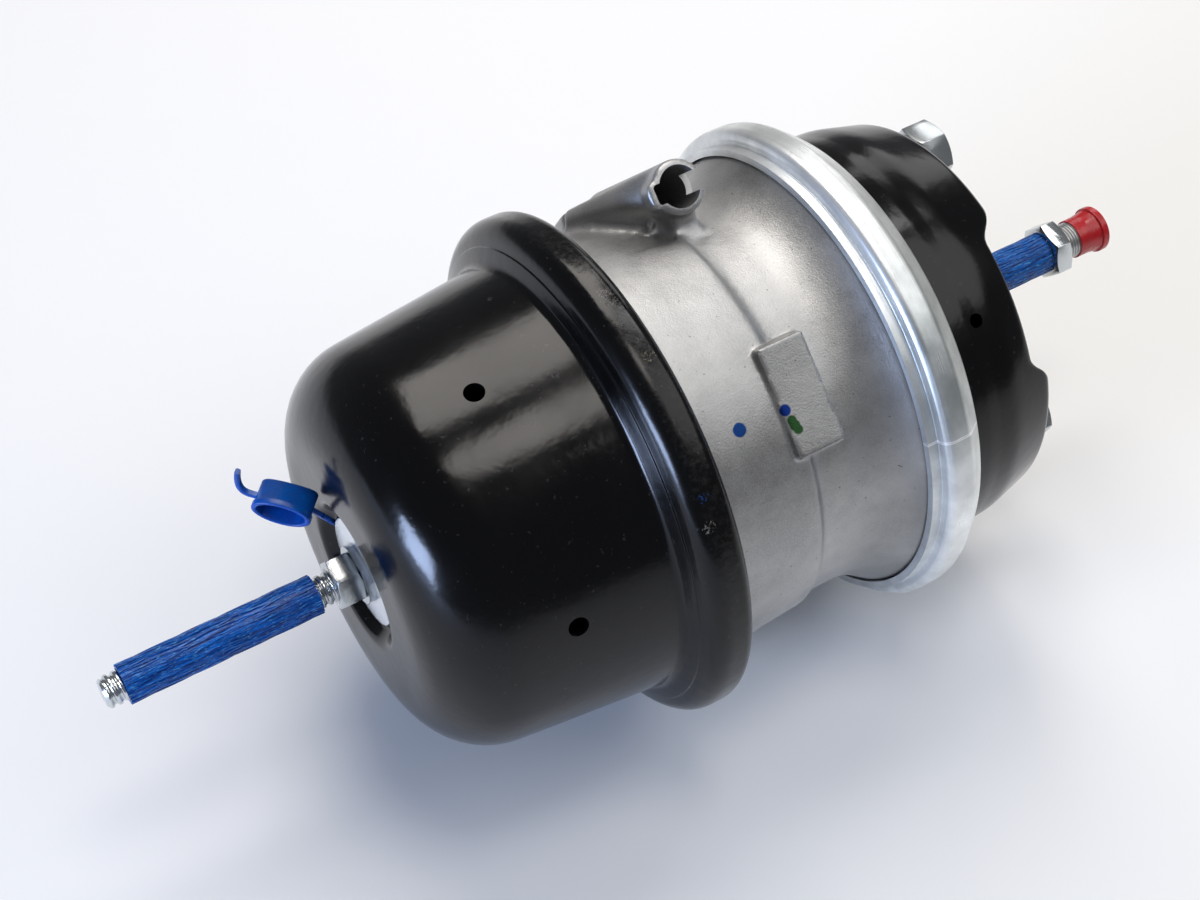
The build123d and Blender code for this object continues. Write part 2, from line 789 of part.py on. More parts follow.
pressure_plate.part.label = "pressure_plate"
export_step(pressure_plate.part, "parts/pressure_plate.step")

# ------------------------------------------------------------------ power spring
power_spring = coil(
    spring_end_face + spring_sheet,
    pressure_back,
    power_spring_small,
    power_spring_large,
    power_spring_turns,
    power_wire,
)
power_spring.label = "power_spring"
export_step(power_spring, "parts/power_spring.step")

# ------------------------------------------------------------------ spring housing
bead_right = case_bead_face + bead_flange_thickness + spring_sheet
wall_length = flank_foot - spring_end_face

with BuildPart() as spring_housing:
    with BuildSketch(Plane.XZ):
        with BuildLine():
            skin = FilletPolyline(
                (dish_floor, 0),
                (dish_floor, dish_floor_radius),
                (spring_end_face, dish_mouth_radius),
                (spring_end_face, spring_wall_radius - spring_wall_taper * wall_length),
                (flank_foot, spring_wall_radius),
                (flank_foot + bead_flank_run, bead_crest_radius),
                (bead_right, bead_crest_radius),
                (bead_right, curl_radius),
                radius=(3, 4, spring_corner, 4, bead_round, bead_shoulder),
            )
            offset(skin, amount=spring_sheet, side=Side.RIGHT)
        make_face()
    revolve(axis=Axis.X)
    with BuildSketch(Plane.YZ.offset(dish_floor)):
        SlotOverall(lug_length + 2 * key_clearance, bolt_diameter + 2 * key_clearance)
    extrude(amount=spring_sheet, mode=Mode.SUBTRACT)
    for drain_clock in drain_clocks:
        drain_plane = facing(
            drain_clock, spring_wall_radius - 4 * spring_sheet, spring_end_face + drain_setback
        )
        with BuildSketch(drain_plane):
            Circle(drain_diameter / 2)
        extrude(amount=5 * spring_sheet, mode=Mode.SUBTRACT)
spring_housing.part.label = "spring_housing"
export_step(spring_housing.part, "parts/spring_housing.step")

# ------------------------------------------------------------------ release bolt set
with BuildPart() as end_plate:
    with BuildSketch(Plane.YZ.offset(end_plate_face)):
        Circle(end_plate_radius)
        SlotOverall(
            lug_length + 2 * key_clearance, bolt_diameter + 2 * key_clearance, mode=Mode.SUBTRACT
        )
    extrude(amount=end_plate_thickness)
end_plate.part.label = "end_plate"
export_step(end_plate.part, "parts/end_plate.step")

with BuildPart() as release_washer:
    with BuildSketch(Plane.YZ.offset(washer_face)):
        Circle(washer_radius)
        Circle(bolt_diameter / 2 + key_clearance, mode=Mode.SUBTRACT)
    extrude(amount=washer_thickness)
release_washer.part.label = "release_washer"
export_step(release_washer.part, "parts/release_washer.step")

with BuildPart() as release_nut:
    with BuildSketch(Plane.YZ.offset(release_nut_face)):
        RegularPolygon(
            release_nut_flats / 2, 6, major_radius=False, rotation=90 - release_nut_clock
        )
        Circle(bolt_diameter / 2 + fit_clearance, mode=Mode.SUBTRACT)
    extrude(amount=release_nut_height)
    with BuildSketch(Plane.XZ):
        with BuildLine():
            Polyline(
                nut_barrel(release_nut_face, release_nut_height, release_nut_flats), close=True
            )
        make_face()
    revolve(axis=Axis.X, mode=Mode.INTERSECT)
release_nut.part.label = "release_nut"
export_step(release_nut.part, "parts/release_nut.step")

with BuildPart() as release_bolt:
    with BuildSketch(Plane.YZ.offset(bolt_tip)):
        Circle(bolt_diameter / 2)
    extrude(amount=lug_seat + lug_height - bolt_tip)
    with BuildSketch(Plane.YZ.offset(lug_seat)):
        Rectangle(lug_width, lug_length)
    extrude(amount=lug_height)
    point = release_bolt.faces().sort_by(Axis.X)[0]
    chamfer(point.edges(), length=1.0)
release_bolt.part.label = "release_bolt"
export_step(release_bolt.part, "parts/release_bolt.step")

with BuildPart() as release_bolt_sleeve:
    with BuildSketch(Plane.YZ.offset(bolt_tip + bolt_sleeve_start)):
        Circle(bolt_sleeve_diameter / 2)
        Circle(bolt_diameter / 2 + loose_clearance, mode=Mode.SUBTRACT)
    extrude(amount=release_nut_face - bolt_sleeve_gap - bolt_tip - bolt_sleeve_start)
release_bolt_sleeve.part.label = "release_bolt_sleeve"
export_step(release_bolt_sleeve.part, "parts/release_bolt_sleeve.step")

# ------------------------------------------------------------------ dust plug
plug_centre = Vector(spring_end_face - plug_setback, plug_side, plug_height)
plug_plane = Plane(origin=plug_centre, x_dir=plug_width_heading, z_dir=plug_mouth_heading)
strap_plane = Plane(origin=plug_centre, x_dir=plug_width_heading, z_dir=plug_plane.y_dir)
strap_root = plug_centre + plug_plane.x_dir * (plug_width / 2 - plug_wall)
strap_anchor = radial(
    strap_anchor_clock, end_plate_radius + strap_width, dish_floor - strap_width / 2
)

with BuildPart() as dust_plug:
    with BuildSketch(plug_plane.offset(-plug_length / 2)):
        SlotOverall(plug_width, plug_thickness)
    extrude(amount=plug_length)
    with BuildSketch(plug_plane.offset(plug_length / 2 - plug_rim_width)):
        SlotOverall(plug_width + 2 * plug_rim, plug_thickness + 2 * plug_rim)
    extrude(amount=plug_rim_width)
    with BuildSketch(plug_plane.offset(plug_wall - plug_length / 2)):
        SlotOverall(plug_width - 2 * plug_wall, plug_thickness - 2 * plug_wall)
    extrude(amount=plug_length - plug_wall, mode=Mode.SUBTRACT)
    # pull tab, curling back past the closed end
    with BuildSketch(strap_plane.offset(-strap_thickness / 2)):
        with BuildLine():
            tab = FilletPolyline(
                (plug_wall / 2 - plug_width / 2, 0),
                (-plug_width / 2 - tail_reach, tail_rise / 4),
                (-plug_width / 2 - tail_reach, tail_rise),
                radius=3,
            )
        trace(tab, strap_width)
    extrude(amount=strap_thickness)
    # strap to the dish in the housing's end
    strap_run = strap_anchor - strap_root
    with BuildSketch(Plane(origin=strap_root, x_dir=plug_plane.z_dir, z_dir=strap_run)):
        Rectangle(strap_width, strap_thickness)
    extrude(amount=strap_run.length)
dust_plug.part.label = "dust_plug"
export_step(dust_plug.part, "parts/dust_plug.step")

# ------------------------------------------------------------------ push plate and push rod
with BuildPart() as push_plate:
    with BuildSketch(Plane.YZ.offset(push_plate_face)):
        Circle(service_cavity_floor - push_plate_gap)
    extrude(amount=push_plate_thickness)
    rim = push_plate.edges().filter_by(GeomType.CIRCLE).sort_by(Axis.X)[0]
    fillet(rim, radius=0.6 * push_plate_thickness)
push_plate.part.label = "push_plate"
export_step(push_plate.part, "parts/push_plate.step")

push_plate_right = push_plate_face + push_plate_thickness

with BuildPart() as push_rod:
    with BuildSketch(Plane.YZ.offset(push_plate_right)):
        Circle(rod_foot_radius)
    extrude(amount=rod_foot_height)
    with BuildSketch(Plane.YZ.offset(push_plate_right)):
        Circle(rod_diameter / 2)
    extrude(amount=rod_tip - push_plate_right)
    tip = push_rod.faces().sort_by(Axis.X)[-1]
    chamfer(tip.edges(), length=rod_chamfer)
push_rod.part.label = "push_rod"
export_step(push_rod.part, "parts/push_rod.step")

service_return_spring = coil(
    push_plate_right,
    -channel_depth - service_sheet,
    service_spring_small,
    service_spring_large,
    service_spring_turns,
    service_wire,
)
service_return_spring.label = "service_return_spring"
export_step(service_return_spring, "parts/service_return_spring.step")

with BuildPart() as push_rod_sleeve:
    with BuildSketch(Plane.YZ.offset(rod_sleeve_start)):
        Circle(rod_sleeve_diameter / 2)
        Circle(rod_diameter / 2 + loose_clearance, mode=Mode.SUBTRACT)
    extrude(amount=jam_nut_seat - loose_clearance - rod_sleeve_start)
push_rod_sleeve.part.label = "push_rod_sleeve"
export_step(push_rod_sleeve.part, "parts/push_rod_sleeve.step")

with BuildPart() as push_rod_jam_nut:
    with BuildSketch(Plane.YZ.offset(jam_nut_seat)):
        RegularPolygon(jam_nut_flats / 2, 6, major_radius=False, rotation=90 - jam_nut_clock)
        Circle(rod_diameter / 2 + fit_clearance, mode=Mode.SUBTRACT)
    extrude(amount=jam_nut_height)
    with BuildSketch(Plane.XZ):
        with BuildLine():
            Polyline(nut_barrel(jam_nut_seat, jam_nut_height, jam_nut_flats), close=True)
        make_face()
    revolve(axis=Axis.X, mode=Mode.INTERSECT)
push_rod_jam_nut.part.label = "push_rod_jam_nut"
export_step(push_rod_jam_nut.part, "parts/push_rod_jam_nut.step")

with BuildPart() as push_rod_cap:
    with BuildSketch(Plane.XZ):
        cap_bore = rod_diameter / 2 + fit_clearance
        with BuildLine():
            FilletPolyline(
                (cap_start, cap_bore),
                (cap_start, cap_bore + cap_wall),
                (cap_end - cap_flange_width, cap_bore + cap_wall),
                (cap_end - cap_flange_width, cap_flange_radius),
                (cap_end, cap_flange_radius),
                (cap_end, 0),
                (rod_tip, 0),
                radius=(0.2, 1.5, 1.2, 2.0, 0),
            )
            Polyline((rod_tip, 0), (rod_tip, cap_bore), (cap_start, cap_bore))
        make_face()
    revolve(axis=Axis.X)
push_rod_cap.part.label = "push_rod_cap"
export_step(push_rod_cap.part, "parts/push_rod_cap.step")
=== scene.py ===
import json
import math

import bmesh
import bpy
from mathutils import Matrix, Vector


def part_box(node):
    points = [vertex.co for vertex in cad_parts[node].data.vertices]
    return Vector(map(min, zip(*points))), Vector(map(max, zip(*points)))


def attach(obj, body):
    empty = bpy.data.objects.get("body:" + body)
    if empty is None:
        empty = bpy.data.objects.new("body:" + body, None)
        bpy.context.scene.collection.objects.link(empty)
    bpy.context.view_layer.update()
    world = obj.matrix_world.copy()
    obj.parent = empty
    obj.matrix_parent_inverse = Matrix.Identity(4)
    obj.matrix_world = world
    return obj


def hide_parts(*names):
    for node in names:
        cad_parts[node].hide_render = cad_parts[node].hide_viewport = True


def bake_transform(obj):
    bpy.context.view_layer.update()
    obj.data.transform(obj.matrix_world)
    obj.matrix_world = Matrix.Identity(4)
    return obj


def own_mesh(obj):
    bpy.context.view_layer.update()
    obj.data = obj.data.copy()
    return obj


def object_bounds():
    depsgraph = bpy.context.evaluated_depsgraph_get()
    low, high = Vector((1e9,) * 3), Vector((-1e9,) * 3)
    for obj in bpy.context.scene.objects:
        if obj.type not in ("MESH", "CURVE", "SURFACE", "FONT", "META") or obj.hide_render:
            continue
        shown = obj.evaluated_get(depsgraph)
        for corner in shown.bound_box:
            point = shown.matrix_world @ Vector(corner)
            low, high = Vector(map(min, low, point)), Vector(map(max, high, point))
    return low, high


# Combination air brake chamber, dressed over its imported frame. Metres; the chamber's axis is X,
# +X toward the push rod, and clock angles run from +Z toward +Y.

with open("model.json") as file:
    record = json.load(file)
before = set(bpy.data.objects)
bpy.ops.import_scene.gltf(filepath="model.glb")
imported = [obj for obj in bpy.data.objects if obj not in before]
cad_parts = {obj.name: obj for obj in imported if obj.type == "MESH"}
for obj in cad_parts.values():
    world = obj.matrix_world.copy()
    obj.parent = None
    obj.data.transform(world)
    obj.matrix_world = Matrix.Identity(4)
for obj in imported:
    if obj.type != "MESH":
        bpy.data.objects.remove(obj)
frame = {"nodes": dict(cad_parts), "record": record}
cad_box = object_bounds()
MM = 0.001
AXIS = Vector((0, 0, 0))


# ------------ frame
def ends(node):
    """Lowest and highest x of a node."""
    low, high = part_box(node)
    return low.x, high.x


def reach(node):
    """Largest radius of a node that is round about the chamber's axis."""
    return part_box(node)[1].z


def radial(clock, distance, x=0.0):
    """Point at this distance from the chamber's axis and this clock angle, in degrees."""
    turn = math.radians(clock)
    return Vector((x, distance * math.sin(turn), distance * math.cos(turn)))


def mm(*values):
    """Lengths in millimetres, as metres."""
    return [value * MM for value in values]


# ------------ stage
EYE = Vector((-0.4267, -0.4350, 0.6180))
LOOK_BACK = Vector((-0.3331, -0.5465, 0.7684))
LENS, SENSOR = 60.0, 36.0     # in mm
CLIP_NEAR, CLIP_FAR = 0.01, 100.0
FLOOR_SIZE = 12.0
FLOOR_TONE = (0.93, 0.93, 0.92)
ROOM = (0.15, 0.155, 0.165)
# centre, aim, size across and down, watts, tint
SOFTBOXES = {
    "ceiling": ((0.12, 0.85, 1.50), (-0.15, 0, 0), (0.72, 1.05), 14, (1.0, 0.95, 0.90)),
    "ceiling_near": ((0.02, -0.25, 1.8), (-0.15, 0, 0), (0.5, 0.5), 5, (1.0, 0.95, 0.90)),
    "over_right": ((0.80, -0.68, 1.45), (-0.05, 0, 0), (1.3, 1.1), 8, (1.0, 1.0, 1.0)),
    "over_end": ((0.60, 0.33, 1.50), (-0.05, 0, 0), (0.45, 0.38), 2.8, (1.0, 1.0, 1.0)),
    "window": ((-2.2, -0.30, 0.32), (-0.2, 0, 0), (0.8, 0.6), 48, (0.52, 0.66, 1.0)),
    "far_side": ((1.3, 1.2, 0.9), (-0.05, 0, 0), (0.9, 0.8), 4, (1.0, 1.0, 1.0)),
}


def set_stage():
    """Camera, softboxes, floor and world."""
    camera = bpy.data.objects.new("camera", bpy.data.cameras.new("camera"))
    bpy.context.scene.collection.objects.link(camera)
    back = LOOK_BACK.normalized()
    right = Vector((0, 0, 1)).cross(back).normalized()
    up = back.cross(right)
    turn = Matrix((right, up, back)).transposed().to_4x4()
    camera.matrix_world = Matrix.Translation(EYE) @ turn
    camera.data.lens, camera.data.sensor_width = LENS, SENSOR
    camera.data.clip_start, camera.data.clip_end = CLIP_NEAR, CLIP_FAR
    bpy.context.scene.camera = camera
    for name, (place, aim, size, watts, tint) in SOFTBOXES.items():
        lamp = bpy.data.objects.new(name, bpy.data.lights.new(name, "AREA"))
        bpy.context.scene.collection.objects.link(lamp)
        lamp.data.shape = "RECTANGLE"
        lamp.data.size, lamp.data.size_y = size
        lamp.data.energy, lamp.data.color = watts, tint
        lamp.location = place
        lamp.rotation_mode = "QUATERNION"
        lamp.rotation_quaternion = (Vector(aim) - Vector(place)).to_track_quat("-Z", "Y")

    mesh = bpy.data.meshes.new("floor")
    side, level = FLOOR_SIZE / 2, cad_box[0].z
    corners = [(-side, -side, level), (side, -side, level), (side, side, level), (-side, side, level)]
    mesh.from_pydata(corners, [], [(0, 1, 2, 3)])
    floor = bpy.data.objects.new("floor", mesh)
    bpy.context.scene.collection.objects.link(floor)
    Finish("floor_paint", Roughness=0.9, Base_Color=FLOOR_TONE).apply(floor)

    world = bpy.data.worlds.new("studio")
    bpy.context.scene.world = world
    world.use_nodes = True
    world.node_tree.nodes["Background"].inputs["Color"].default_value = (*ROOM, 1)
    bpy.context.scene.view_settings.view_transform = "Standard"


# ------------ finishes
class Finish:
    """A material built round one Principled shader, with textures in the row frame."""

    def __init__(self, name, **sockets):
        self.material = bpy.data.materials.new(name)
        self.material.use_nodes = True
        self.tree = self.material.node_tree
        self.shader = self.tree.nodes["Principled BSDF"]
        for socket, value in sockets.items():
            self.give(socket.replace("_", " "), value)
        self.place = self.add("ShaderNodeTexCoord").outputs["Object"]

    def feed(self, socket, value):
        """Links an output to a socket, or sets it to a number, a vector or an (r, g, b)."""
        if isinstance(value, bpy.types.NodeSocket):
            self.tree.links.new(value, socket)
        elif socket.type == "RGBA":
            socket.default_value = (*value, 1)
        else:
            socket.default_value = value

    def give(self, name, value):
        """Feeds one of the shader's sockets."""
        self.feed(self.shader.inputs[name], value)

    def cover(self, mask, colour):
        """Lays a colour over the base colour, where the mask is 1."""
        under = self.shader.inputs["Base Color"].links[0].from_socket
        self.give("Base Color", self.mix(mask, under, colour))

    def add(self, kind, inputs=None, **settings):
        """A node with its settings; each input is a value or another node's output."""
        node = self.tree.nodes.new(kind)
        for key, value in settings.items():
            setattr(node, key, value)
        for key, value in (inputs or {}).items():
            self.feed(node.inputs[key], value)
        return node

    def math(self, operation, a, b=0.0):
        return self.add("ShaderNodeMath", {0: a, 1: b}, operation=operation).outputs[0]

    def times(self, a, b):
        return self.math("MULTIPLY", a, b)

    def vector(self, operation, a, b=(0, 0, 0), output="Value"):
        node = self.add("ShaderNodeVectorMath", {0: a, 1: b}, operation=operation)
        return node.outputs[output]

    def parts(self):
        """The row frame's x, y and z."""
        return self.add("ShaderNodeSeparateXYZ", {0: self.place}).outputs

    def toward(self, clock):
        """Distance from the chamber's axis, measured along this clock angle."""
        return self.vector("DOT_PRODUCT", self.place, radial(clock, 1))

    def radius(self):
        """Distance from the chamber's axis."""
        x, y, z = self.parts()
        return self.vector("LENGTH", self.add("ShaderNodeCombineXYZ", {1: y, 2: z}).outputs[0])

    def stretched(self, x, y, z):
        """The row frame's coordinates, multiplied."""
        return self.vector("MULTIPLY", self.place, (x, y, z), "Vector")

    def turned(self, along, out, around):
        """Coordinates along the chamber's axis, out from it and around it, multiplied."""
        x, y, z = self.parts()
        turns = {
            0: self.times(x, along),
            1: self.times(self.radius(), out),
            2: self.times(self.math("ARCTAN2", y, z), around),
        }
        return self.add("ShaderNodeCombineXYZ", turns).outputs[0]

    def noise(self, scale, detail=3.0, place=None, roughness=0.5, low=0.35, high=0.65):
        """Noise from 0 to 1, with the values between low and high spread over the range."""
        place = place or self.place
        inputs = {"Vector": place, "Scale": scale, "Detail": detail, "Roughness": roughness}
        return self.spread(self.add("ShaderNodeTexNoise", inputs).outputs[0], low, high)

    def spread(self, value, low, high, start=0.0, end=1.0):
        """A value moved from between low and high to between start and end."""
        inputs = {0: value, 1: low, 2: high, 3: start, 4: end}
        return self.add("ShaderNodeMapRange", inputs).outputs[0]

    def mix(self, factor, first, second):
        """Colour between two, each an (r, g, b) or an output."""
        node = self.add("ShaderNodeMix", {0: factor, 6: first, 7: second}, data_type="RGBA")
        return node.outputs[2]

    def bump(self, height, distance, strength):
        """Relief of this height in metres, over any relief already there."""
        inputs = {"Height": height, "Distance": distance, "Strength": strength}
        if self.shader.inputs["Normal"].is_linked:
            inputs["Normal"] = self.shader.inputs["Normal"].links[0].from_socket
        self.give("Normal", self.add("ShaderNodeBump", inputs).outputs[0])

    def spot(self, place, size, uneven=1.4 * MM):
        """Mask of a spot this large about a place, with an uneven edge."""
        edge = self.times(self.noise(170, 2, low=0, high=1), uneven)
        edge = self.math("ADD", self.vector("DISTANCE", self.place, place), edge)
        size += uneven / 2
        return self.spread(edge, size + 0.25 * MM, size - 0.25 * MM)

    def apply(self, piece):
        piece.data.materials.clear()
        piece.data.materials.append(self.material)


# where marking paint was dabbed: (x, clock, distance from the axis), size in mm, colour
CASE_DABS = (
    ((-0.1389, -42.6, 0.0884), 2.7, (0.010, 0.060, 0.25)),
    ((-0.1193, -43.0, 0.0893), 2.2, (0.006, 0.035, 0.24)),
    ((-0.1183, -46.0, 0.0893), 2.0, (0.030, 0.095, 0.030)),
    ((-0.1179, -47.2, 0.0893), 2.2, (0.030, 0.095, 0.030)),
    ((-0.1174, -48.4, 0.0893), 2.1, (0.030, 0.095, 0.030)),
)
# where the bead's paint is scuffed, in the same order
BEAD_SCUFFS = (
    ((-0.1679, -50.1, 0.1066), 2.6, (0.006, 0.045, 0.20)),
    ((-0.1695, -55.6, 0.1062), 3.2, (0.16, 0.15, 0.12)),
    ((-0.1640, -21.3, 0.1066), 2.6, (0.15, 0.14, 0.09)),
    ((-0.1660, -6.0, 0.1066), 3.5, (0.09, 0.09, 0.08)),
)
PAINTED_SHADE_CLOCK = -72.0           # where painted shade darkens the casting most
PAINTED_SHADE_OUT = (0.055, 0.095)    # the painted shade darkens it between these distances toward that clock
PAINTED_SHADE_ALONG = (-0.105, -0.070)  # and between these x
TARNISH_AND_SHADE_CLOCK = -47.0         # where the clamp ring is darkest, with tarnish and painted shade
TARNISH_AND_SHADE_OUT = (0.086, 0.104)
PALE_BEFORE = -0.240          # the end plate is the only plated piece out here and off the axis
PALE_OUT = (0.0126, 0.0130)
BEAD_WORN = (0.1050, 0.1064)  # distances from the axis between which the bead's crest gets rubbed


def black_paint():
    """Gloss black stoving paint with orange peel, dust, fine scratches and a rubbed bead."""
    paint = Finish("black_paint", Specular_IOR_Level=0.31)
    smudge = paint.noise(26, 4)
    dust = paint.noise(520, 2, low=0.68, high=0.76)
    scratch = paint.noise(60, 6, paint.turned(3, 30, 0.35), 0.7, 0.64, 0.69)
    worn = paint.times(scratch, paint.noise(14, 2, low=0.5, high=0.6))
    marks = paint.math("MAXIMUM", paint.times(dust, 0.25), paint.times(worn, 0.5))
    paint.give("Base Color", paint.mix(marks, (0.0012, 0.0012, 0.0015), (0.070, 0.070, 0.075)))
    leather = paint.noise(430, 4, roughness=0.7, low=0.45, high=0.75)
    leather = paint.times(paint.spread(paint.radius(), *BEAD_WORN), leather)
    paint.cover(paint.times(leather, 0.35), (0.045, 0.044, 0.042))
    for (x, clock, distance), size, colour in BEAD_SCUFFS:
        speck = paint.noise(1100, 3, roughness=0.7, low=0.56, high=0.62)
        spot = paint.spot(radial(clock, distance, x), size * MM, 6 * MM)
        paint.cover(paint.times(speck, spot), colour)
    soft = paint.math("ADD", paint.math("ADD", smudge, marks), leather)
    paint.give("Roughness", paint.spread(soft, 0, 3, 0.12, 0.42))
    paint.bump(paint.noise(150, 2), 0.06 * MM, 0.5)
    paint.bump(leather, 0.05 * MM, 0.6)
    return paint


def cast_aluminium():
    """Die-cast aluminium, matt and finely grained, with pores, painted shade on one side and dabs of
    marking paint.
    """
    cast = Finish("cast_aluminium", Metallic=0.88)
    cloud = cast.noise(22, 5, roughness=0.6)
    grain = cast.noise(1500, 3, low=0.3, high=0.7)
    pores = cast.noise(700, 2, low=0.69, high=0.77)
    cast.give("Base Color", cast.mix(cloud, (0.285, 0.285, 0.285), (0.49, 0.49, 0.485)))
    cast.cover(cast.times(grain, 0.22), (0.72, 0.72, 0.72))
    cast.cover(cast.times(pores, 0.7), (0.09, 0.09, 0.095))
    # painted shade: the casting's colour darkened toward clock -72 and low x, standing in for shade on
    # that side
    painted_shade = cast.spread(cast.toward(PAINTED_SHADE_CLOCK), *PAINTED_SHADE_OUT)
    painted_shade = cast.times(painted_shade, cast.spread(cast.parts()[0], *PAINTED_SHADE_ALONG))
    painted_shade = cast.times(painted_shade, cast.noise(30, 4, low=0.1, high=0.6))
    cast.cover(cast.times(painted_shade, 0.72), (0.17, 0.17, 0.175))
    for (x, clock, distance), size, colour in CASE_DABS:
        cast.cover(cast.spot(radial(clock, distance, x), size * MM), colour)
    cast.give("Roughness", cast.spread(cast.math("ADD", cloud, grain), 0, 2, 0.37, 0.54))
    cast.bump(grain, 0.08 * MM, 0.5)
    cast.bump(cast.noise(260, 3), 0.08 * MM, 0.35)
    return cast


def zinc(name, tone, lines, roughness, metallic, dullness=0.28):
    """Bright zinc plating, smudged, with the fine lines of a turned or rolled surface."""
    plate = Finish(name, Metallic=metallic)
    smudge = plate.noise(34, 5, roughness=0.6)
    fine = plate.noise(1.0, 3, plate.turned(2600, 2600, 1.5), 0.6)
    dull = tuple((1 - dullness) * part for part in tone)
    plate.give("Base Color", plate.mix(plate.times(smudge, 0.8), tone, dull))
    plate.give("Roughness", plate.spread(plate.math("ADD", smudge, fine), 0, 2, *roughness))
    plate.bump(fine, 0.03 * MM, lines)
    return plate


def ring_plating():
    """The clamp ring's plating, drawn and tarnished, darkened by painted shade on one side, with a
    painted highlight along its butted ends.
    """
    plate = zinc("zinc_ring", (0.92, 0.945, 0.94), 0.6, (0.26, 0.44), 0.72, 0.42)
    plate.bump(plate.noise(1.0, 2, plate.turned(760, 760, 0.7), 0.5), 0.10 * MM, 0.6)
    # partly real tarnish, partly painted shade: the plating darkened toward clock -47
    tarnish_and_shade = plate.spread(plate.toward(TARNISH_AND_SHADE_CLOCK), *TARNISH_AND_SHADE_OUT)
    tarnish_and_shade = plate.times(tarnish_and_shade, plate.noise(48, 4, low=0.2, high=0.6))
    plate.cover(plate.times(tarnish_and_shade, 0.75), (0.26, 0.29, 0.285))
    # painted highlight: a pure white line laid into the colour along the butted ends, on that side of
    # the axis
    across = plate.math("ABSOLUTE", plate.toward(RING_SPLIT_CLOCK + 90))
    line = plate.spread(across, 0.7 * MM, 0.4 * MM)
    line = plate.times(line, plate.spread(plate.toward(RING_SPLIT_CLOCK), 0, 1 * MM))
    plate.cover(line, (1.0, 1.0, 1.0))
    return plate


def hardware_plating():
    """Plating of the nuts, studs and bolt, and the paler, duller plating of the end plate."""
    plate = zinc("zinc_hardware", (0.64, 0.67, 0.68), 0.3, (0.12, 0.26), 0.96)
    pale = plate.spread(plate.parts()[0], PALE_BEFORE, PALE_BEFORE - 1 * MM)
    pale = plate.times(plate.spread(plate.radius(), *PALE_OUT), pale)
    plate.cover(pale, (0.80, 0.82, 0.82))
    plate.give("Metallic", plate.spread(pale, 0, 1, 0.96, 0.80))
    return plate


def spring_steel():
    """Phosphated steel of the springs."""
    steel = Finish("spring_steel", Metallic=0.4)
    cloud = steel.noise(120, 4)
    steel.give("Base Color", steel.mix(cloud, (0.045, 0.045, 0.05), (0.027, 0.027, 0.03)))
    steel.give("Roughness", steel.spread(cloud, 0, 1, 0.4, 0.55))
    steel.bump(steel.noise(900, 2), 0.03 * MM, 0.5)
    return steel


def moulded(name, tone, shade, roughness, **sockets):
    """Moulded rubber or plastic with a faint cloud of tone and a fine skin."""
    skin = Finish(name, **sockets)
    cloud = skin.noise(180, 3)
    skin.give("Base Color", skin.mix(cloud, tone, shade))
    skin.give("Roughness", skin.spread(cloud, 0, 1, roughness, roughness + 0.14))
    skin.bump(skin.noise(1100, 2), 0.02 * MM, 0.5)
    return skin


def net_plastic():
    """Glossy blue filament, with strand tone that varies, painted shade between the strands and
    painted highlights on them.
    """
    net = Finish("blue_mesh", Specular_IOR_Level=0.3)
    # strand tone that varies, and painted shade in the gaps between strands
    strand_tone_and_gap_shade = net.noise(1.0, 3, net.stretched(110, 1500, 1500), 0.6, 0.38, 0.62)
    painted_glint = net.noise(1.0, 2, net.stretched(420, 1900, 1900), 0.5, 0.58, 0.68)
    net.give("Base Color", net.mix(strand_tone_and_gap_shade, (0.001, 0.022, 0.15), (0.005, 0.135, 0.54)))
    # painted highlight: pale blue glints laid into the colour
    net.cover(net.times(painted_glint, 0.7), (0.10, 0.38, 0.72))
    net.give("Roughness", net.spread(strand_tone_and_gap_shade, 0, 1, 0.34, 0.14))
    net.bump(strand_tone_and_gap_shade, 0.12 * MM, 0.6)
    return net


def all_finishes():
    """A finish for each of the record's material slots."""
    return {
        "black_paint": black_paint(),
        "cast_aluminium": cast_aluminium(),
        "zinc_ring": ring_plating(),
        "zinc_hardware": hardware_plating(),
        "bare_steel": zinc("bare_steel", (0.58, 0.58, 0.58), 0.3, (0.24, 0.40), 0.9),
        "blue_mesh": net_plastic(),
        "blue_plastic": moulded(
            "blue_plastic", (0.002, 0.078, 0.38), (0.002, 0.055, 0.30), 0.22, Specular_IOR_Level=0.35
        ),
        "red_plastic": moulded(
            "red_plastic", (0.62, 0.012, 0.02), (0.50, 0.008, 0.015), 0.20, Transmission_Weight=0.25
        ),
        "spring_steel": spring_steel(),
        "diaphragm_rubber": moulded("diaphragm_rubber", (0.012,) * 3, (0.020,) * 3, 0.55),
        "seal_rubber": moulded("seal_rubber", (0.010,) * 3, (0.016,) * 3, 0.45),
        "bushing_plastic": moulded("bushing_plastic", (0.55, 0.53, 0.47), (0.45, 0.43, 0.38), 0.4),
    }


# ------------ mesh helpers
def new_piece(name, shape):
    """An object made of a bmesh."""
    mesh = bpy.data.meshes.new(name)
    bmesh.ops.recalc_face_normals(shape, faces=shape.faces)
    shape.to_mesh(mesh)
    shape.free()
    piece = bpy.data.objects.new(name, mesh)
    bpy.context.scene.collection.objects.link(piece)
    return piece


def merge(name, parts):
    """One object holding several parts' meshes."""
    shape = bmesh.new()
    for part in parts:
        shape.from_mesh(part.data)
        bpy.data.objects.remove(part)
    return new_piece(name, shape)


def smooth(piece, angle):
    """Smooth shading, with edges sharper than this left crisp."""
    piece.data.shade_smooth()
    piece.data.set_sharp_from_angle(angle=math.radians(angle))


def settle(piece):
    """Applies a piece's modifiers to its mesh."""
    graph = bpy.context.evaluated_depsgraph_get()
    mesh = bpy.data.meshes.new_from_object(piece.evaluated_get(graph), depsgraph=graph)
    piece.modifiers.clear()
    piece.data = mesh


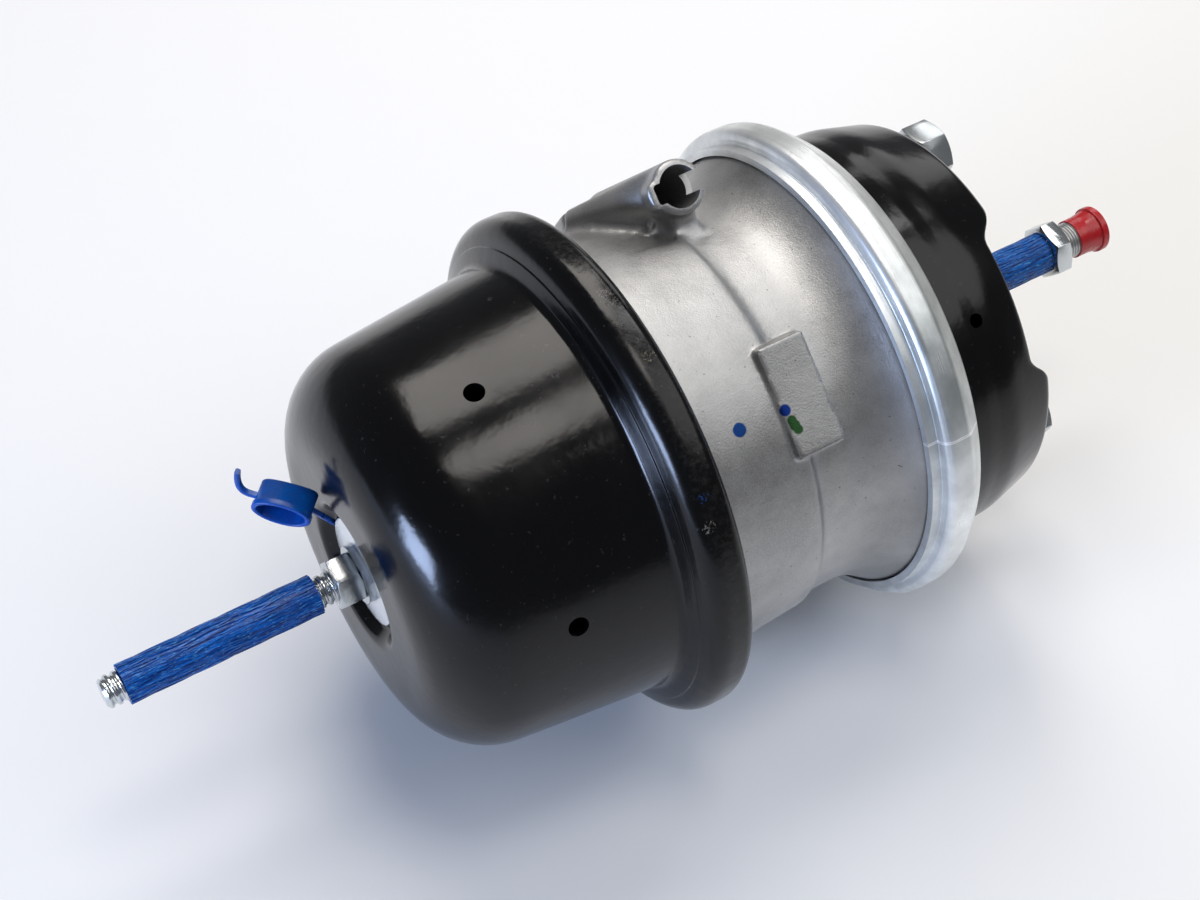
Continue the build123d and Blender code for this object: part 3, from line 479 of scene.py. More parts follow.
def refine(piece, *steps):
    """Settle a run of modifiers, each a name, a kind and its settings."""
    for name, kind, settings in steps:
        step = piece.modifiers.new(name, kind)
        for key, value in settings.items():
            setattr(step, key, value)
    settle(piece)


def combine(piece, operation, *others):
    """Boolean of a piece with others, which are used up."""
    for other in others:
        step = piece.modifiers.new("combine", "BOOLEAN")
        step.operation, step.solver, step.object = operation, "EXACT", other
    settle(piece)
    for other in others:
        bpy.data.objects.remove(other)


def bevel(piece, width, angle=30):
    """Rounds a piece's sharp edges."""
    settings = {
        "width": width, "segments": 2, "limit_method": "ANGLE", "angle_limit": math.radians(angle),
    }
    refine(piece, ("bevel", "BEVEL", settings))


def bridge(shape, rings, looped=False, capped=False):
    """Faces from each ring of points to the next, back to the first, and over both ends."""
    for low, high in zip(rings, rings[1:] + (rings[:1] if looped else [])):
        for i in range(len(low)):
            j = (i + 1) % len(low)
            shape.faces.new((low[i], low[j], high[j], high[i]))
    if capped:
        shape.faces.new(rings[0][::-1])
        shape.faces.new(rings[-1])


def rounded(corners, radii, run=None):
    """Points of an open outline with its inner corners rounded and its long runs divided."""
    points = [Vector(corners[0])]
    for before, corner, after, radius in zip(corners, corners[1:], corners[2:], radii):
        corner = Vector(corner)
        back, on = Vector(before) - corner, Vector(after) - corner
        half = back.angle(on) / 2
        if radius <= 0 or half > math.radians(89.5):
            points.append(corner)
            continue
        first = corner + back.normalized() * radius / math.tan(half)
        centre = corner + (back.normalized() + on.normalized()).normalized() * radius / math.sin(half)
        spoke = first - centre
        turn = math.copysign(math.pi - 2 * half, -back.cross(on))
        steps = max(3, round(abs(turn) / math.radians(7)))
        points += [centre + Matrix.Rotation(turn * i / steps, 2) @ spoke for i in range(steps + 1)]
    points.append(Vector(corners[-1]))
    if not run:
        return points
    divided = [points[0]]
    for start, end in zip(points, points[1:]):
        parts = max(1, math.ceil((end - start).length / run))
        divided += [start.lerp(end, i / parts) for i in range(1, parts + 1)]
    return divided


def sheet(corners, radii, thickness, run):
    """Closed outline of a pressed sheet: its outer face, then its inner face on the way back."""
    inner, inner_radii = [], []
    for i, corner in enumerate(corners):
        sides = []
        if i:
            sides.append((Vector(corner) - Vector(corners[i - 1])).normalized())
        if i < len(corners) - 1:
            sides.append((Vector(corners[i + 1]) - Vector(corner)).normalized())
        normals = [Vector((side.y, -side.x)) for side in sides]
        middle = sum(normals, Vector((0, 0))).normalized()
        inner.append(Vector(corner) + middle * thickness / middle.dot(normals[0]))
        if 0 < i < len(corners) - 1:
            turn = sides[0].cross(sides[1])
            radius = radii[i - 1] + math.copysign(thickness, turn)
            inner_radii.append(max(radius, 0.3 * MM) if radii[i - 1] else 0)
    return rounded(corners, radii, run) + rounded(inner, inner_radii, run)[::-1]


def outline(station, *corners):
    """Corners (distance from the station, radius), both in millimetres, as metres."""
    return [Vector((station + along * MM, out * MM)) for along, out in corners]


def lathe(name, section, segments, span=None):
    """A closed section turned about the chamber's axis, fully or over a span of clock angles."""
    shape = bmesh.new()
    first, last = span or (0, 360)
    count = segments + (1 if span else 0)
    rings = []
    for x, out in section:
        if abs(out) < 1e-7:
            rings.append([shape.verts.new((x, 0, 0))])
            continue
        clocks = [first + (last - first) * i / segments for i in range(count)]
        rings.append([shape.verts.new(radial(clock, out, x)) for clock in clocks])
    pairs = list(zip(rings, rings[1:]))
    if len(rings[0]) > 1:
        pairs.append((rings[-1], rings[0]))
    for low, high in pairs:
        for i in range(segments):
            j = (i + 1) % count
            corners = [low[i % len(low)], low[j % len(low)], high[j % len(high)], high[i % len(high)]]
            corners = [v for k, v in enumerate(corners) if v not in corners[:k]]
            if len(corners) > 2:
                shape.faces.new(corners)
    if span:
        shape.faces.new([ring[0] for ring in rings])
        shape.faces.new([ring[-1] for ring in rings][::-1])
    return new_piece(name, shape)


def prism(name, points, place, height, start=0.0, top=None):
    """Points (a, b) on a frame's first two axes, raised along its third; top is the far outline."""
    shape = bmesh.new()
    low = [shape.verts.new(place @ Vector((a, b, start))) for a, b in points]
    high = [shape.verts.new(place @ Vector((a, b, start + height))) for a, b in (top or points)]
    shape.faces.new(low[::-1])
    shape.faces.new(high)
    bridge(shape, [low, high])
    return new_piece(name, shape)


def frame_of(origin, first, normal):
    """Matrix whose third axis is the normal, and whose first is the nearest to first beside it."""
    third = Vector(normal).normalized()
    first = Vector(first) - Vector(first).dot(third) * third
    first.normalize()
    turn = Matrix((first, third.cross(first), third)).transposed().to_4x4()
    return Matrix.Translation(Vector(origin)) @ turn


def facing_out(clock, x):
    """Frame on the chamber's axis, whose third axis points out at a clock angle."""
    return frame_of(radial(clock, 0, x), (1, 0, 0), radial(clock, 1))


def facing_along(x, centre=AXIS):
    """Frame whose third axis is +X, beside the chamber's axis as far as the centre is."""
    return frame_of((x, centre.y, centre.z), (0, 1, 0), (1, 0, 0))


def circle(radius, count=48):
    return [
        (radius * math.cos(2 * math.pi * i / count), radius * math.sin(2 * math.pi * i / count))
        for i in range(count)
    ]


def box_outline(across, down, corner):
    """Rectangle about the origin, with rounded corners."""
    steps = 6
    points = []
    for k, (a, b) in enumerate(((1, 1), (-1, 1), (-1, -1), (1, -1))):
        for i in range(steps + 1):
            turn = math.pi / 2 * (k + i / steps)
            x = a * (across / 2 - corner) + corner * math.cos(turn)
            y = b * (down / 2 - corner) + corner * math.sin(turn)
            points.append((x, y))
    return points


def cone(name, small_end, small_radius, wide_end, wide_radius, wide_plane):
    """Body between a small round end that faces along it and a wide one in its own plane."""
    turn = wide_plane.to_3x3()
    small_plane = frame_of(small_end, turn @ Vector((1, 0, 0)), wide_end - small_end)
    wide_plane = Matrix.Translation(wide_end) @ turn.to_4x4()
    shape = bmesh.new()
    for plane, radius in ((small_plane, small_radius), (wide_plane, wide_radius)):
        for a, b in circle(radius):
            shape.verts.new(plane @ Vector((a, b, 0)))
    bmesh.ops.convex_hull(shape, input=shape.verts[:])
    return new_piece(name, shape)


# ------------ spring housing
SHEET = 3.2 * MM
housing_left, housing_right = ends("spring_housing")
BEAD_FOOT = 91.6              # mm from the end face to where the wall meets the bead
WALL_RADIUS = 90.4            # of the wall there, in mm
WALL_DRAFT = 0.104            # mm of radius that the wall loses with each mm toward the end
DRAIN_CLOCKS = (-6.9, -71.2)
DRAIN_SETBACK = 51.8 * MM
DRAIN_RADIUS = 4.0 * MM


def spring_housing():
    """Pressed cup with a dished end, a rolled bead and two drain holes."""
    foot, crest = housing_left + BEAD_FOOT * MM, reach("spring_housing")
    end_radius = WALL_RADIUS - WALL_DRAFT * BEAD_FOOT
    wall = (0, end_radius), (BEAD_FOOT, WALL_RADIUS)
    corners = outline(housing_left, (6, 0), (6, 26), (0, 30), *wall)
    corners += outline(foot, (2.6, 97.4), (3.2, 97.6))
    corners += [(foot + 6 * MM, crest), (housing_right, crest), (housing_right, 93.2 * MM)]
    section = sheet(corners, mm(3, 4, 34, 4, 0.4, 0.4, 9, 5), SHEET, 3.0 * MM)
    cup = lathe("spring_housing_cup", section, 288)
    bores = []
    for clock in DRAIN_CLOCKS:
        place = facing_out(clock, housing_left + DRAIN_SETBACK)
        bores.append(prism("bore", circle(DRAIN_RADIUS), place, 60 * MM, 70 * MM))
    combine(cup, "DIFFERENCE", *bores)
    return cup


# ------------ service housing
SERVICE_SHEET = 3.0 * MM
CHANNEL_CLOCK = -43.5
CHANNEL_DEPTH = 10.0 * MM
CHANNEL_FLOOR = 26.5 * MM     # half widths of the channel's floor and mouth
CHANNEL_MOUTH = 34.0 * MM
CHANNEL_ROUND = 4.0 * MM
CHANNEL_PRESS = 12.0 * MM     # how far behind its surface the channel still moves the sheet
VENT_SETBACK = 31.0 * MM
VENT_RADIUS = 2.85 * MM
STUD_CLOCK = 46.5
STUD_REACH = 60.325 * MM
STUD_HOLE = 8.19 * MM
service_left = ends("service_housing")[0]


def blend_low(a, b, width):
    """Smaller of two lengths, rounded over where they meet."""
    share = max(0.0, min(1.0, 0.5 + (b - a) / (2 * width)))
    return b + (a - b) * share - width * share * (1 - share)


def channel_level(across, depth):
    """X of the relief channel at this distance from its middle line and depth in the sheet."""
    slope = CHANNEL_DEPTH / (CHANNEL_MOUTH - CHANNEL_FLOOR)
    wall = (abs(across) - CHANNEL_FLOOR + depth) * slope - CHANNEL_DEPTH
    return -blend_low(CHANNEL_DEPTH, -wall, CHANNEL_ROUND) - depth


def press(place, depth):
    """Point of the cup's skin at this depth in the sheet, once the channel is pressed into it."""
    level = channel_level(place.dot(radial(STUD_CLOCK, 1)), depth)
    low = blend_low(place.x, level, 2 * MM if depth else CHANNEL_ROUND)
    return Vector((low if place.x > level - CHANNEL_PRESS else place.x, place.y, place.z))


def service_housing():
    """Pressed cup with a flange, and a relief channel across its end between the two studs."""
    outer = rounded(
        outline(0, (-10, 16), (0, 16.0), (0, 82.9), (-22, 88.4), (service_left / MM, 89.1)),
        mm(0, 5, 30),
        2.0 * MM,
    )[1:]
    inner = rounded(
        outline(-SERVICE_SHEET, (0, 16.0), (0, 79.9), (-19, 85.4), (service_left / MM + 3, 86.1)),
        mm(2.5, 30),
        3.0 * MM,
    )[::-1]
    flange = rounded(
        outline(service_left, (20, 89.1), (3, 89.1), (3, 95.4), (0, 95.4), (0, 86.1)),
        mm(1.6, 0.8, 0.8),
        2.0 * MM,
    )[1:-1]
    outer = [point for point in outer if point.x > service_left + 20 * MM] + flange
    outer += outline(service_left, (0, 86.1))
    shape = bmesh.new()
    segments = 360
    rings = []
    for section, depth in ((outer, 0.0), (inner, SERVICE_SHEET)):
        for x, out in section:
            skin = [press(radial(360 * i / segments, out, x), depth) for i in range(segments)]
            rings.append([shape.verts.new(place) for place in skin])
    bridge(shape, rings, looped=True)
    cup = new_piece("service_housing_cup", shape)
    bores = []
    for clock in (CHANNEL_CLOCK, CHANNEL_CLOCK + 180):
        place = facing_out(clock, -VENT_SETBACK)
        bores.append(prism("bore", circle(VENT_RADIUS), place, 40 * MM, 70 * MM))
    for side in (1, -1):
        place = facing_along(0, radial(STUD_CLOCK, side * STUD_REACH))
        bores.append(prism("bore", circle(STUD_HOLE), place, 20 * MM, -10 * MM))
    combine(cup, "DIFFERENCE", *bores)
    return cup


# ------------ clamp ring
RING_SHEET = 3.0 * MM
RING_SPLIT_CLOCK = -64.1
RING_GAP = 0.05               # degrees of clock that each of the hoop's butted ends stands back
ring_left = ends("clamp_ring")[0]
case_left, case_right = ends("flange_case")


def clamp_ring():
    """Rolled hoop over the case's rim and the service housing's flange, with its ends butted."""
    step, lip = case_right - 6 * MM, service_left + 3 * MM
    corners = [
        (lip, 91.0 * MM), (lip, 95.6 * MM), (lip - 6.9 * MM, 101.1 * MM),
        (step, 101.1 * MM), (step, 95.3 * MM), (ring_left, 95.3 * MM),
    ]
    section = sheet(corners, mm(0.9, 2, 0.9, 1.4), RING_SHEET, 2 * MM)
    span = (RING_SPLIT_CLOCK + RING_GAP, RING_SPLIT_CLOCK + 360 - RING_GAP)
    return lathe("clamp_ring_hoop", section, 360, span)


# ------------ flange case
CAST_GRAIN = 1.0 * MM         # mesh size of the casting's skin
CAST_FILLET = 2.2 * MM        # radius that fills the casting's inner corners
# profiles: distance from the case's left end, and radius, both in mm
BARREL = ((0, 0), (0, 102.4), (7.3, 102.4), (7.3, 90.6), (29.5, 88.8), (57.5, 84.3), (71.5, 84.3))
BARREL_LIP = ((1, 94.9), (7.5, 94.9), (7.5, 100.9))  # from the clamp ring's left end
BAND = ((14, 80), (14, 89.6), (54, 87.2), (54, 80))
BAND_SPAN = (-118, 12)
SPRING_CAVITY = ((-5, 0), (-5, 84), (0, 84), (55.5, 77), (55.5, 30), (52.2, 30), (52.2, 0))
HUB_BORE = ((50, 0), (50, 17.1), (72, 17.1), (72, 0))
# and from the case's right end
SERVICE_CAVITY = ((5, 0), (5, 86.4), (0, 86.4), (-43, 78.5), (-43, 30), (-40, 30), (-40, 0))
PORT_CLOCK = 60.0
PORT_SETBACK = 58.5           # mm from the case's left end to midway between the ports
PORT_SPREAD = 18              # mm from there to each port
PORT_RADIUS = 7.15 * MM
PASSAGE_RADIUS = 3.5 * MM
BOSS_WIDTH, BOSS_DEPTH, BOSS_CORNER = 58 * MM, 42 * MM, 7 * MM
BOSS_FOOT, BOSS_RISE = 75 * MM, 20 * MM
BOSS_DRAFT = 12               # degrees
PAD_CLOCK = -41.5
PAD_SETBACK = 57.75 * MM
PAD_FOOT, PAD_RISE = 75 * MM, 14.3 * MM
POCKET_CLOCK = 48.2
POCKET_SETBACK = 59 * MM
POCKET_OFFSET = 88.0 * MM
POCKET_MOUTH = 57.3 * MM
POCKET_DEPTH = 75.0 * MM
POCKET_BORE = 8.4 * MM
POCKET_WALL = 2.6 * MM
WEB = ((-5.5, -25.2), (5.5, -25.2), (5.5, -8.4), (-5.5, -8.4))  # corners beside the pocket, in mm
WEB_TOP = 50 * MM
FAIRING_START = (42, 92.7 * MM, 30.5 * MM)  # clock, distance from the axis, setback
FAIRING_RADIUS = 4.5 * MM
KEY_DEPTH = 8.0 * MM          # of the lobe round the pocket's keyway
KEYWAY_DEPTH = 13.9 * MM


def tangent_arc(start, end):
    """Points of an arc that leaves its start along the axis."""
    steps = 12
    run, rise = end[0] - start[0], end[1] - start[1]
    radius = (run * run + rise * rise) / (2 * rise)
    turns = [math.asin(run / radius) * i / steps for i in range(1, steps + 1)]
    return [
        Vector((start[0] + radius * math.sin(turn), start[1] + radius * (1 - math.cos(turn))))
        for turn in turns
    ]


def cast_body(pocket):
    """Barrel with its flanges and band, port boss, pocket, web and fairing, grown into one."""
    barrel = rounded(outline(case_left, *BARREL), mm(2, 2, 3, 60, 40), 2.5 * MM)
    barrel += tangent_arc(barrel[-1], (ring_left, 94 * MM))
    barrel += outline(ring_left, *BARREL_LIP)
    barrel += outline(case_right, (0, 100.9), (0, 0))
    shrink = BOSS_RISE * math.tan(math.radians(BOSS_DRAFT)) * 2
    foot = box_outline(BOSS_WIDTH, BOSS_DEPTH, BOSS_CORNER)
    top = box_outline(BOSS_WIDTH - shrink, BOSS_DEPTH - shrink, BOSS_CORNER - shrink / 2)
    boss = facing_out(PORT_CLOCK, case_left + PORT_SETBACK * MM)
    floor = POCKET_MOUTH - POCKET_DEPTH
    outside = POCKET_BORE + POCKET_WALL
    web = [(a * MM, b * MM) for a, b in WEB]
    clock, distance, setback = FAIRING_START
    small_end = radial(clock, distance, case_left + setback)
    wide_end = pocket @ Vector((0, 0, POCKET_MOUTH - KEY_DEPTH))
    parts = [
        lathe("barrel", barrel, 360),
        lathe("band", outline(case_left, *BAND), 72, BAND_SPAN),
        prism("boss", foot, boss, BOSS_RISE, BOSS_FOOT, top),
        prism("tube", circle(outside), pocket, POCKET_DEPTH + POCKET_WALL, floor - POCKET_WALL),
        prism("web", web, pocket, WEB_TOP - floor, floor),
        cone("fairing", small_end, FAIRING_RADIUS, wide_end, outside, pocket),
    ]
    body = merge("body", parts)
    refine(
        body,
        ("join", "REMESH", {"mode": "VOXEL", "voxel_size": CAST_GRAIN}),
        ("swell", "DISPLACE", {"strength": CAST_FILLET, "mid_level": 0.0}),
        ("rejoin", "REMESH", {"mode": "VOXEL", "voxel_size": CAST_GRAIN}),
        ("soften", "SMOOTH", {"factor": 0.5, "iterations": 5}),
        ("shrink", "DISPLACE", {"strength": -CAST_FILLET, "mid_level": 0.0}),
    )
    return body


def flange_case():
    """Die casting: barrel with two flanges, raised band, pad, port boss and keyed pocket."""
    place = radial(POCKET_CLOCK, POCKET_OFFSET, case_left + POCKET_SETBACK)
    pocket = frame_of(place, (1, 0, 0), radial(POCKET_CLOCK - 90, 1))
    pad = facing_out(PAD_CLOCK, case_left + PAD_SETBACK)
    lobe = [(a - 5.95 * MM, b) for a, b in box_outline(14.9 * MM, 11.0 * MM, 4 * MM)]
    parts = [
        cast_body(pocket),
        prism("pad", box_outline(20.5 * MM, 44 * MM, 1.5 * MM), pad, PAD_RISE, PAD_FOOT),
        prism("key", lobe, pocket, KEY_DEPTH, POCKET_MOUTH - KEY_DEPTH),
    ]
    case = merge("flange_case_casting", parts)
    refine(
        case,
        ("skin", "REMESH", {"mode": "VOXEL", "voxel_size": CAST_GRAIN}),
        ("finish", "SMOOTH", {"factor": 0.5, "iterations": 4}),
        ("thin", "DECIMATE", {"ratio": 0.6}),
    )

    slot = [(a + 0.7 * MM, b) for a, b in box_outline(22.4 * MM, 8 * MM, 1.5 * MM)]
    corners = mm(0, 0, 9, 2, 1)
    cutters = [
        lathe("cavity", rounded(outline(case_left, *SPRING_CAVITY), corners), 128),
        lathe("cavity", rounded(outline(case_right, *SERVICE_CAVITY), corners), 128),
        lathe("hub", outline(case_left, *HUB_BORE), 96),
        prism("bore", circle(POCKET_BORE), pocket, POCKET_DEPTH + 5 * MM, POCKET_MOUTH - POCKET_DEPTH),
        prism("slot", slot, pocket, 20 * MM, POCKET_MOUTH - KEYWAY_DEPTH),
    ]
    for along in (-PORT_SPREAD, PORT_SPREAD):
        port = facing_out(PORT_CLOCK, case_left + (PORT_SETBACK + along) * MM)
        cutters.append(prism("port", circle(PORT_RADIUS), port, 20 * MM, 80 * MM))
        cutters.append(prism("passage", circle(PASSAGE_RADIUS, 24), port, 50 * MM, 37 * MM))
    combine(case, "DIFFERENCE", *cutters)
    return case


# ------------ fasteners and rods
# radius, pitch and depth of each thread
BOLT_THREAD = (6.35 * MM, 3.175 * MM, 0.95 * MM)
ROD_THREAD = (7.94 * MM, 1.411 * MM, 0.85 * MM)
STUD_THREAD = (7.9 * MM, 2.309 * MM, 1.1 * MM)
BEVEL = 1.3 * MM              # at both ends of a thread
OVERLAP = 0.1 * MM            # of a shank into its thread
ROD_THREAD_START = 60.0 * MM
NET_TURNS = 0.34 * 0.35       # that a strand makes round the net in its length


def threaded(name, centre, start, end, radius, pitch, depth):
    """Rod along x with a rounded thread; centre is where its axis meets the mounting plane."""
    rows, columns = math.ceil((end - start) / pitch * 12), 48
    shape = bmesh.new()
    rings = []
    for i in range(rows + 1):
        x = start + (end - start) * i / rows
        most = radius - BEVEL + min(x - start, end - x)
        ring = []
        for j in range(columns):
            turn = 2 * math.pi * j / columns
            phase = (x / pitch - j / columns) % 1.0
            wave = min(1.0, max(0.0, 1.25 - abs(phase - 0.5) * 3.4))
            out = min(most, radius - depth * wave * wave * (3 - 2 * wave))
            place = (x, centre.y + out * math.cos(turn), centre.z + out * math.sin(turn))
            ring.append(shape.verts.new(place))
        rings.append(ring)
    bridge(shape, rings, capped=True)
    return new_piece(name, shape)


def hex_nut(name, node, centre, flats, bore, clock):
    """Hexagon nut along x, its corners rounded off and its bore flared at both faces."""
    start, end = ends(node)
    height = end - start
    corner, face = flats / math.sqrt(3), 0.485 * flats
    lean = 0.5 * (corner - face)
    hexagon = [
        (corner * math.cos(math.radians(30 + 60 * i)), corner * math.sin(math.radians(30 + 60 * i)))
        for i in range(6)
    ]
    place = frame_of((start, centre.y, centre.z), radial(clock, 1), (1, 0, 0))
    nut = prism(name, hexagon, place, height)
    edge, mouth = corner + 0.05 * MM, bore + 1.9 * MM
    barrel = [(0, 0), (0, face), (lean, edge), (height - lean, edge), (height, face), (height, 0)]
    flare = [
        (-1 * MM, 0), (-1 * MM, mouth), (0.9 * MM, bore),
        (height - 0.9 * MM, bore), (height + 1 * MM, mouth), (height + 1 * MM, 0),
    ]
    for operation, section, segments in (("INTERSECT", barrel, 96), ("DIFFERENCE", flare, 48)):
        tool = lathe("tool", [Vector((start + x, out)) for x, out in section], segments)
        tool.data.transform(Matrix.Translation((0, centre.y, centre.z)))
        combine(nut, operation, tool)
    bevel(nut, 0.18 * MM)
    return nut


def release_bolt():
    """Threaded bolt whose plain shank ends inside the housing in a T of two lugs."""
    left, right = ends("release_bolt")
    inside = housing_left + 3 * MM
    start = inside - OVERLAP
    parts = [
        threaded("thread", AXIS, left, inside, *BOLT_THREAD),
        prism("shank", circle(6.3 * MM), facing_along(start), right - 4 * MM - start),
        prism("lugs", box_outline(8 * MM, 22 * MM, 0.8 * MM), facing_along(right - 8 * MM), 8 * MM),
    ]
    return merge("release_bolt_shaft", parts)


def push_rod():
    """Rod with a foot on the push plate and a threaded end."""
    left, right = ends("push_rod")
    parts = [
        threaded("thread", AXIS, ROD_THREAD_START, right, *ROD_THREAD),
        prism("shank", circle(7.9 * MM), facing_along(left), ROD_THREAD_START + 2 * OVERLAP - left),
        prism("foot", circle(14 * MM, 72), facing_along(left), 5 * MM),
    ]
    return merge("push_rod_shaft", parts)


def netting(node, inner, strands):
    """Packing sleeve of plastic net: a thin tube with two families of strands wound over it."""
    start, end = ends(node)
    outer = reach(node)
    shape = bmesh.new()
    middle = (inner + outer) / 2
    rings = []
    for x, out in ((start, inner), (end, inner), (end, middle), (start, middle)):
        rings.append([shape.verts.new(radial(360 * i / 64, out, x)) for i in range(64)])
    bridge(shape, rings, looped=True)
    thick = (outer - middle) * 0.9
    wide = 2 * math.pi * middle / strands * 0.42
    half = math.degrees(wide / 2 / middle)
    foot = middle - 0.02 * MM
    steps = math.ceil((end - start) / (1.6 * MM))
    for lay in (1, -1):
        for k in range(strands):
            rows = []
            for i in range(steps + 1):
                share = i / steps
                x = start + (end - start) * share
                clock = 360 * (k / strands + lay * NET_TURNS * share)
                clock += 2.2 * math.sin(9.0 * share + 2.4 * k)
                lift = 0.5 + 0.5 * lay * math.cos(math.pi * strands * NET_TURNS * 2 * share)
                top = middle + thick * (0.45 + 0.55 * lift)
                sides = ((-1, foot), (-0.55, top), (0.55, top), (1, foot))
                rows.append([shape.verts.new(radial(clock + half * a, out, x)) for a, out in sides])
            bridge(shape, rows, capped=True)
    return new_piece(node + "_net", shape)


def push_rod_cap():
    """Thin plastic cap that flares toward the flange at its closed end."""
    start, end = ends("push_rod_cap")
    inner, edge = 8.05 * MM, reach("push_rod_cap")
    wall = inner + 0.6 * MM
    flange, floor = end - 3.4 * MM, end - 3.0 * MM
    corners = [
        (start, inner), (start, wall), (start + 0.55 * (flange - start), wall),
        (flange, edge - 0.9 * MM), (flange, edge), (end, edge), (end, inner + 0.5 * MM),
        (end - 1.6 * MM, inner - 0.8 * MM), (end - 1.6 * MM, 0),
    ]
    section = rounded(corners, mm(0.2, 3, 0.3, 0.5, 0.6, 0.5, 0.5))
    return lathe("push_rod_red_cap", section + [Vector((floor, 0)), Vector((floor, inner))], 96)


def mounting_studs():
    """Both studs, with their threads outside the housing and their heads inside it."""
    left, right = ends("mounting_studs")
    parts = []
    for side in (1, -1):
        centre = radial(STUD_CLOCK, side * STUD_REACH)
        place = facing_along(left, centre)
        parts.append(threaded("stud", centre, 0.5 * MM, right, *STUD_THREAD))
        parts.append(prism("head", circle(13 * MM, 72), place, 6 * MM))
        parts.append(prism("neck", circle(7.9 * MM), place, 0.5 * MM + OVERLAP - left))
    return merge("mounting_stud_pair", parts)


def mounting_nuts():
    """The nuts on both studs."""
    centres = [radial(STUD_CLOCK, side * STUD_REACH) for side in (1, -1)]
    nuts = [hex_nut("nut", "stud_nuts", centre, 23.8 * MM, 7.9 * MM, 8.7) for centre in centres]
    return merge("mounting_nut_pair", nuts)


# ------------ dust plug
PLUG_WIDTH = 22.0 * MM
PLUG_THICKNESS = 12.0 * MM
PLUG_LENGTH = 12.0 * MM
PLUG_WALL = 0.9 * MM
PLUG_RIM = 3.0 * MM           # length of the rim at its mouth
PLUG_WEDGE = 2.3 * MM         # how far the flattened closed end reaches past the plain length
PLUG_FLAT = 0.72              # share of its thickness that the closed end loses
PLUG_PLACE = Vector((-13.5, 23.8, 28.5)) * MM
PLUG_MOUTH = Vector((-0.682, -0.730, -0.053))
PLUG_ACROSS = Vector((0.721, -0.673, -0.166))
RIBBON = ((-1, -0.5), (-0.75, -1), (0.75, -1), (1, -0.5), (1, 0.5), (0.75, 1), (-0.75, 1), (-1, 0.5))


def ribbon(name, path, across, width, thickness):
    """Flat strap along a smooth path, as wide as given along across."""
    curve = bpy.data.curves.new("path", "CURVE")
    curve.dimensions = "3D"
    spline = curve.splines.new("NURBS")
    spline.points.add(len(path) - 1)
    for point, place in zip(spline.points, path):
        point.co = (*place, 1)
    spline.order_u, spline.use_endpoint_u, spline.resolution_u = 4, True, 12
    holder = bpy.data.objects.new("path", curve)
    bpy.context.scene.collection.objects.link(holder)
    graph = bpy.context.evaluated_depsgraph_get()
    line = bpy.data.meshes.new_from_object(holder.evaluated_get(graph))
    places = [vertex.co.copy() for vertex in line.vertices]
    bpy.data.objects.remove(holder)
    shape = bmesh.new()
    rows = []
    for i, place in enumerate(places):
        along = (places[min(i + 1, len(places) - 1)] - places[max(i - 1, 0)]).normalized()
        side = (across - across.dot(along) * along).normalized()
        lift = along.cross(side)
        row = [place + side * a * width / 2 + lift * b * thickness / 2 for a, b in RIBBON]
        rows.append([shape.verts.new(point) for point in row])
    bridge(shape, rows, capped=True)
    return new_piece(name, shape)


def plug_cup(place):
    """Oval cup with a rim at its mouth, flattened to a wedge at its closed end."""
    low, high = -PLUG_LENGTH / 2, PLUG_LENGTH / 2
    half = PLUG_THICKNESS / 2
    rim, hollow = half + 0.6 * MM, half - PLUG_WALL
    straight = (PLUG_WIDTH - PLUG_THICKNESS) / 2
    section = [
        (low, 0), (low, half - 0.9 * MM), (low + 0.5 * MM, half - 0.3 * MM), (low + 1.2 * MM, half),
        (high - PLUG_RIM, half), (high - 2.8 * MM, rim), (high - 0.4 * MM, rim),
        (high, half + 0.2 * MM), (high, hollow + 0.3 * MM), (high - 0.6 * MM, hollow),
        (low + 2.6 * MM, hollow), (low + 1.6 * MM, half - 2.6 * MM), (low + 1.6 * MM, 0),
    ]
    shape = bmesh.new()
    rings = []
    for along, out in section:
        closed = max(0.0, (high - PLUG_RIM - along) / (PLUG_LENGTH - PLUG_RIM))
        wide = out + straight * min(1, out / half)
        deep = out * (1 - PLUG_FLAT * closed)
        ring = [(a * wide, b * deep, along - PLUG_WEDGE * closed) for a, b in circle(1, 64)]
        rings.append([shape.verts.new(place @ Vector(point)) for point in ring])
    bridge(shape, rings)
    bmesh.ops.remove_doubles(shape, verts=shape.verts, dist=0.001 * MM)
    cup = new_piece("plug_cup", shape)
    bevel(cup, 0.25 * MM, 25)
    return cup


def dust_plug():
    """Oval moulded plug with its pull tab, and its strap to the end plate."""
    centre = Vector((housing_left, 0, 0)) + PLUG_PLACE
    place = frame_of(centre, PLUG_ACROSS, PLUG_MOUTH)
    across = place.to_3x3() @ Vector((1, 0, 0))
    mouth = place.to_3x3() @ Vector((0, 0, 1))
    left = centre - across * (PLUG_WIDTH / 2 - 0.7 * MM)
    right = centre + across * (PLUG_WIDTH / 2 - 0.7 * MM)
    anchor = radial(83, 24.7 * MM, housing_left + 4.9 * MM)
    bends = ((0, 0), (3, 0), (7, 0), (7.6, 6), (6.4, 12))
    pull = [left - across * out * MM + radial(0, up * MM) for out, up in bends]
    hang = [right + (anchor - right) * share for share in (0, 0.35, 0.7, 1)]
    parts = [
        plug_cup(place),
        ribbon("tab", pull, mouth, 2.6 * MM, 2.0 * MM),
        ribbon("strap", hang, mouth, 2.2 * MM, 1.5 * MM),
    ]
    return merge("dust_plug_moulding", parts)


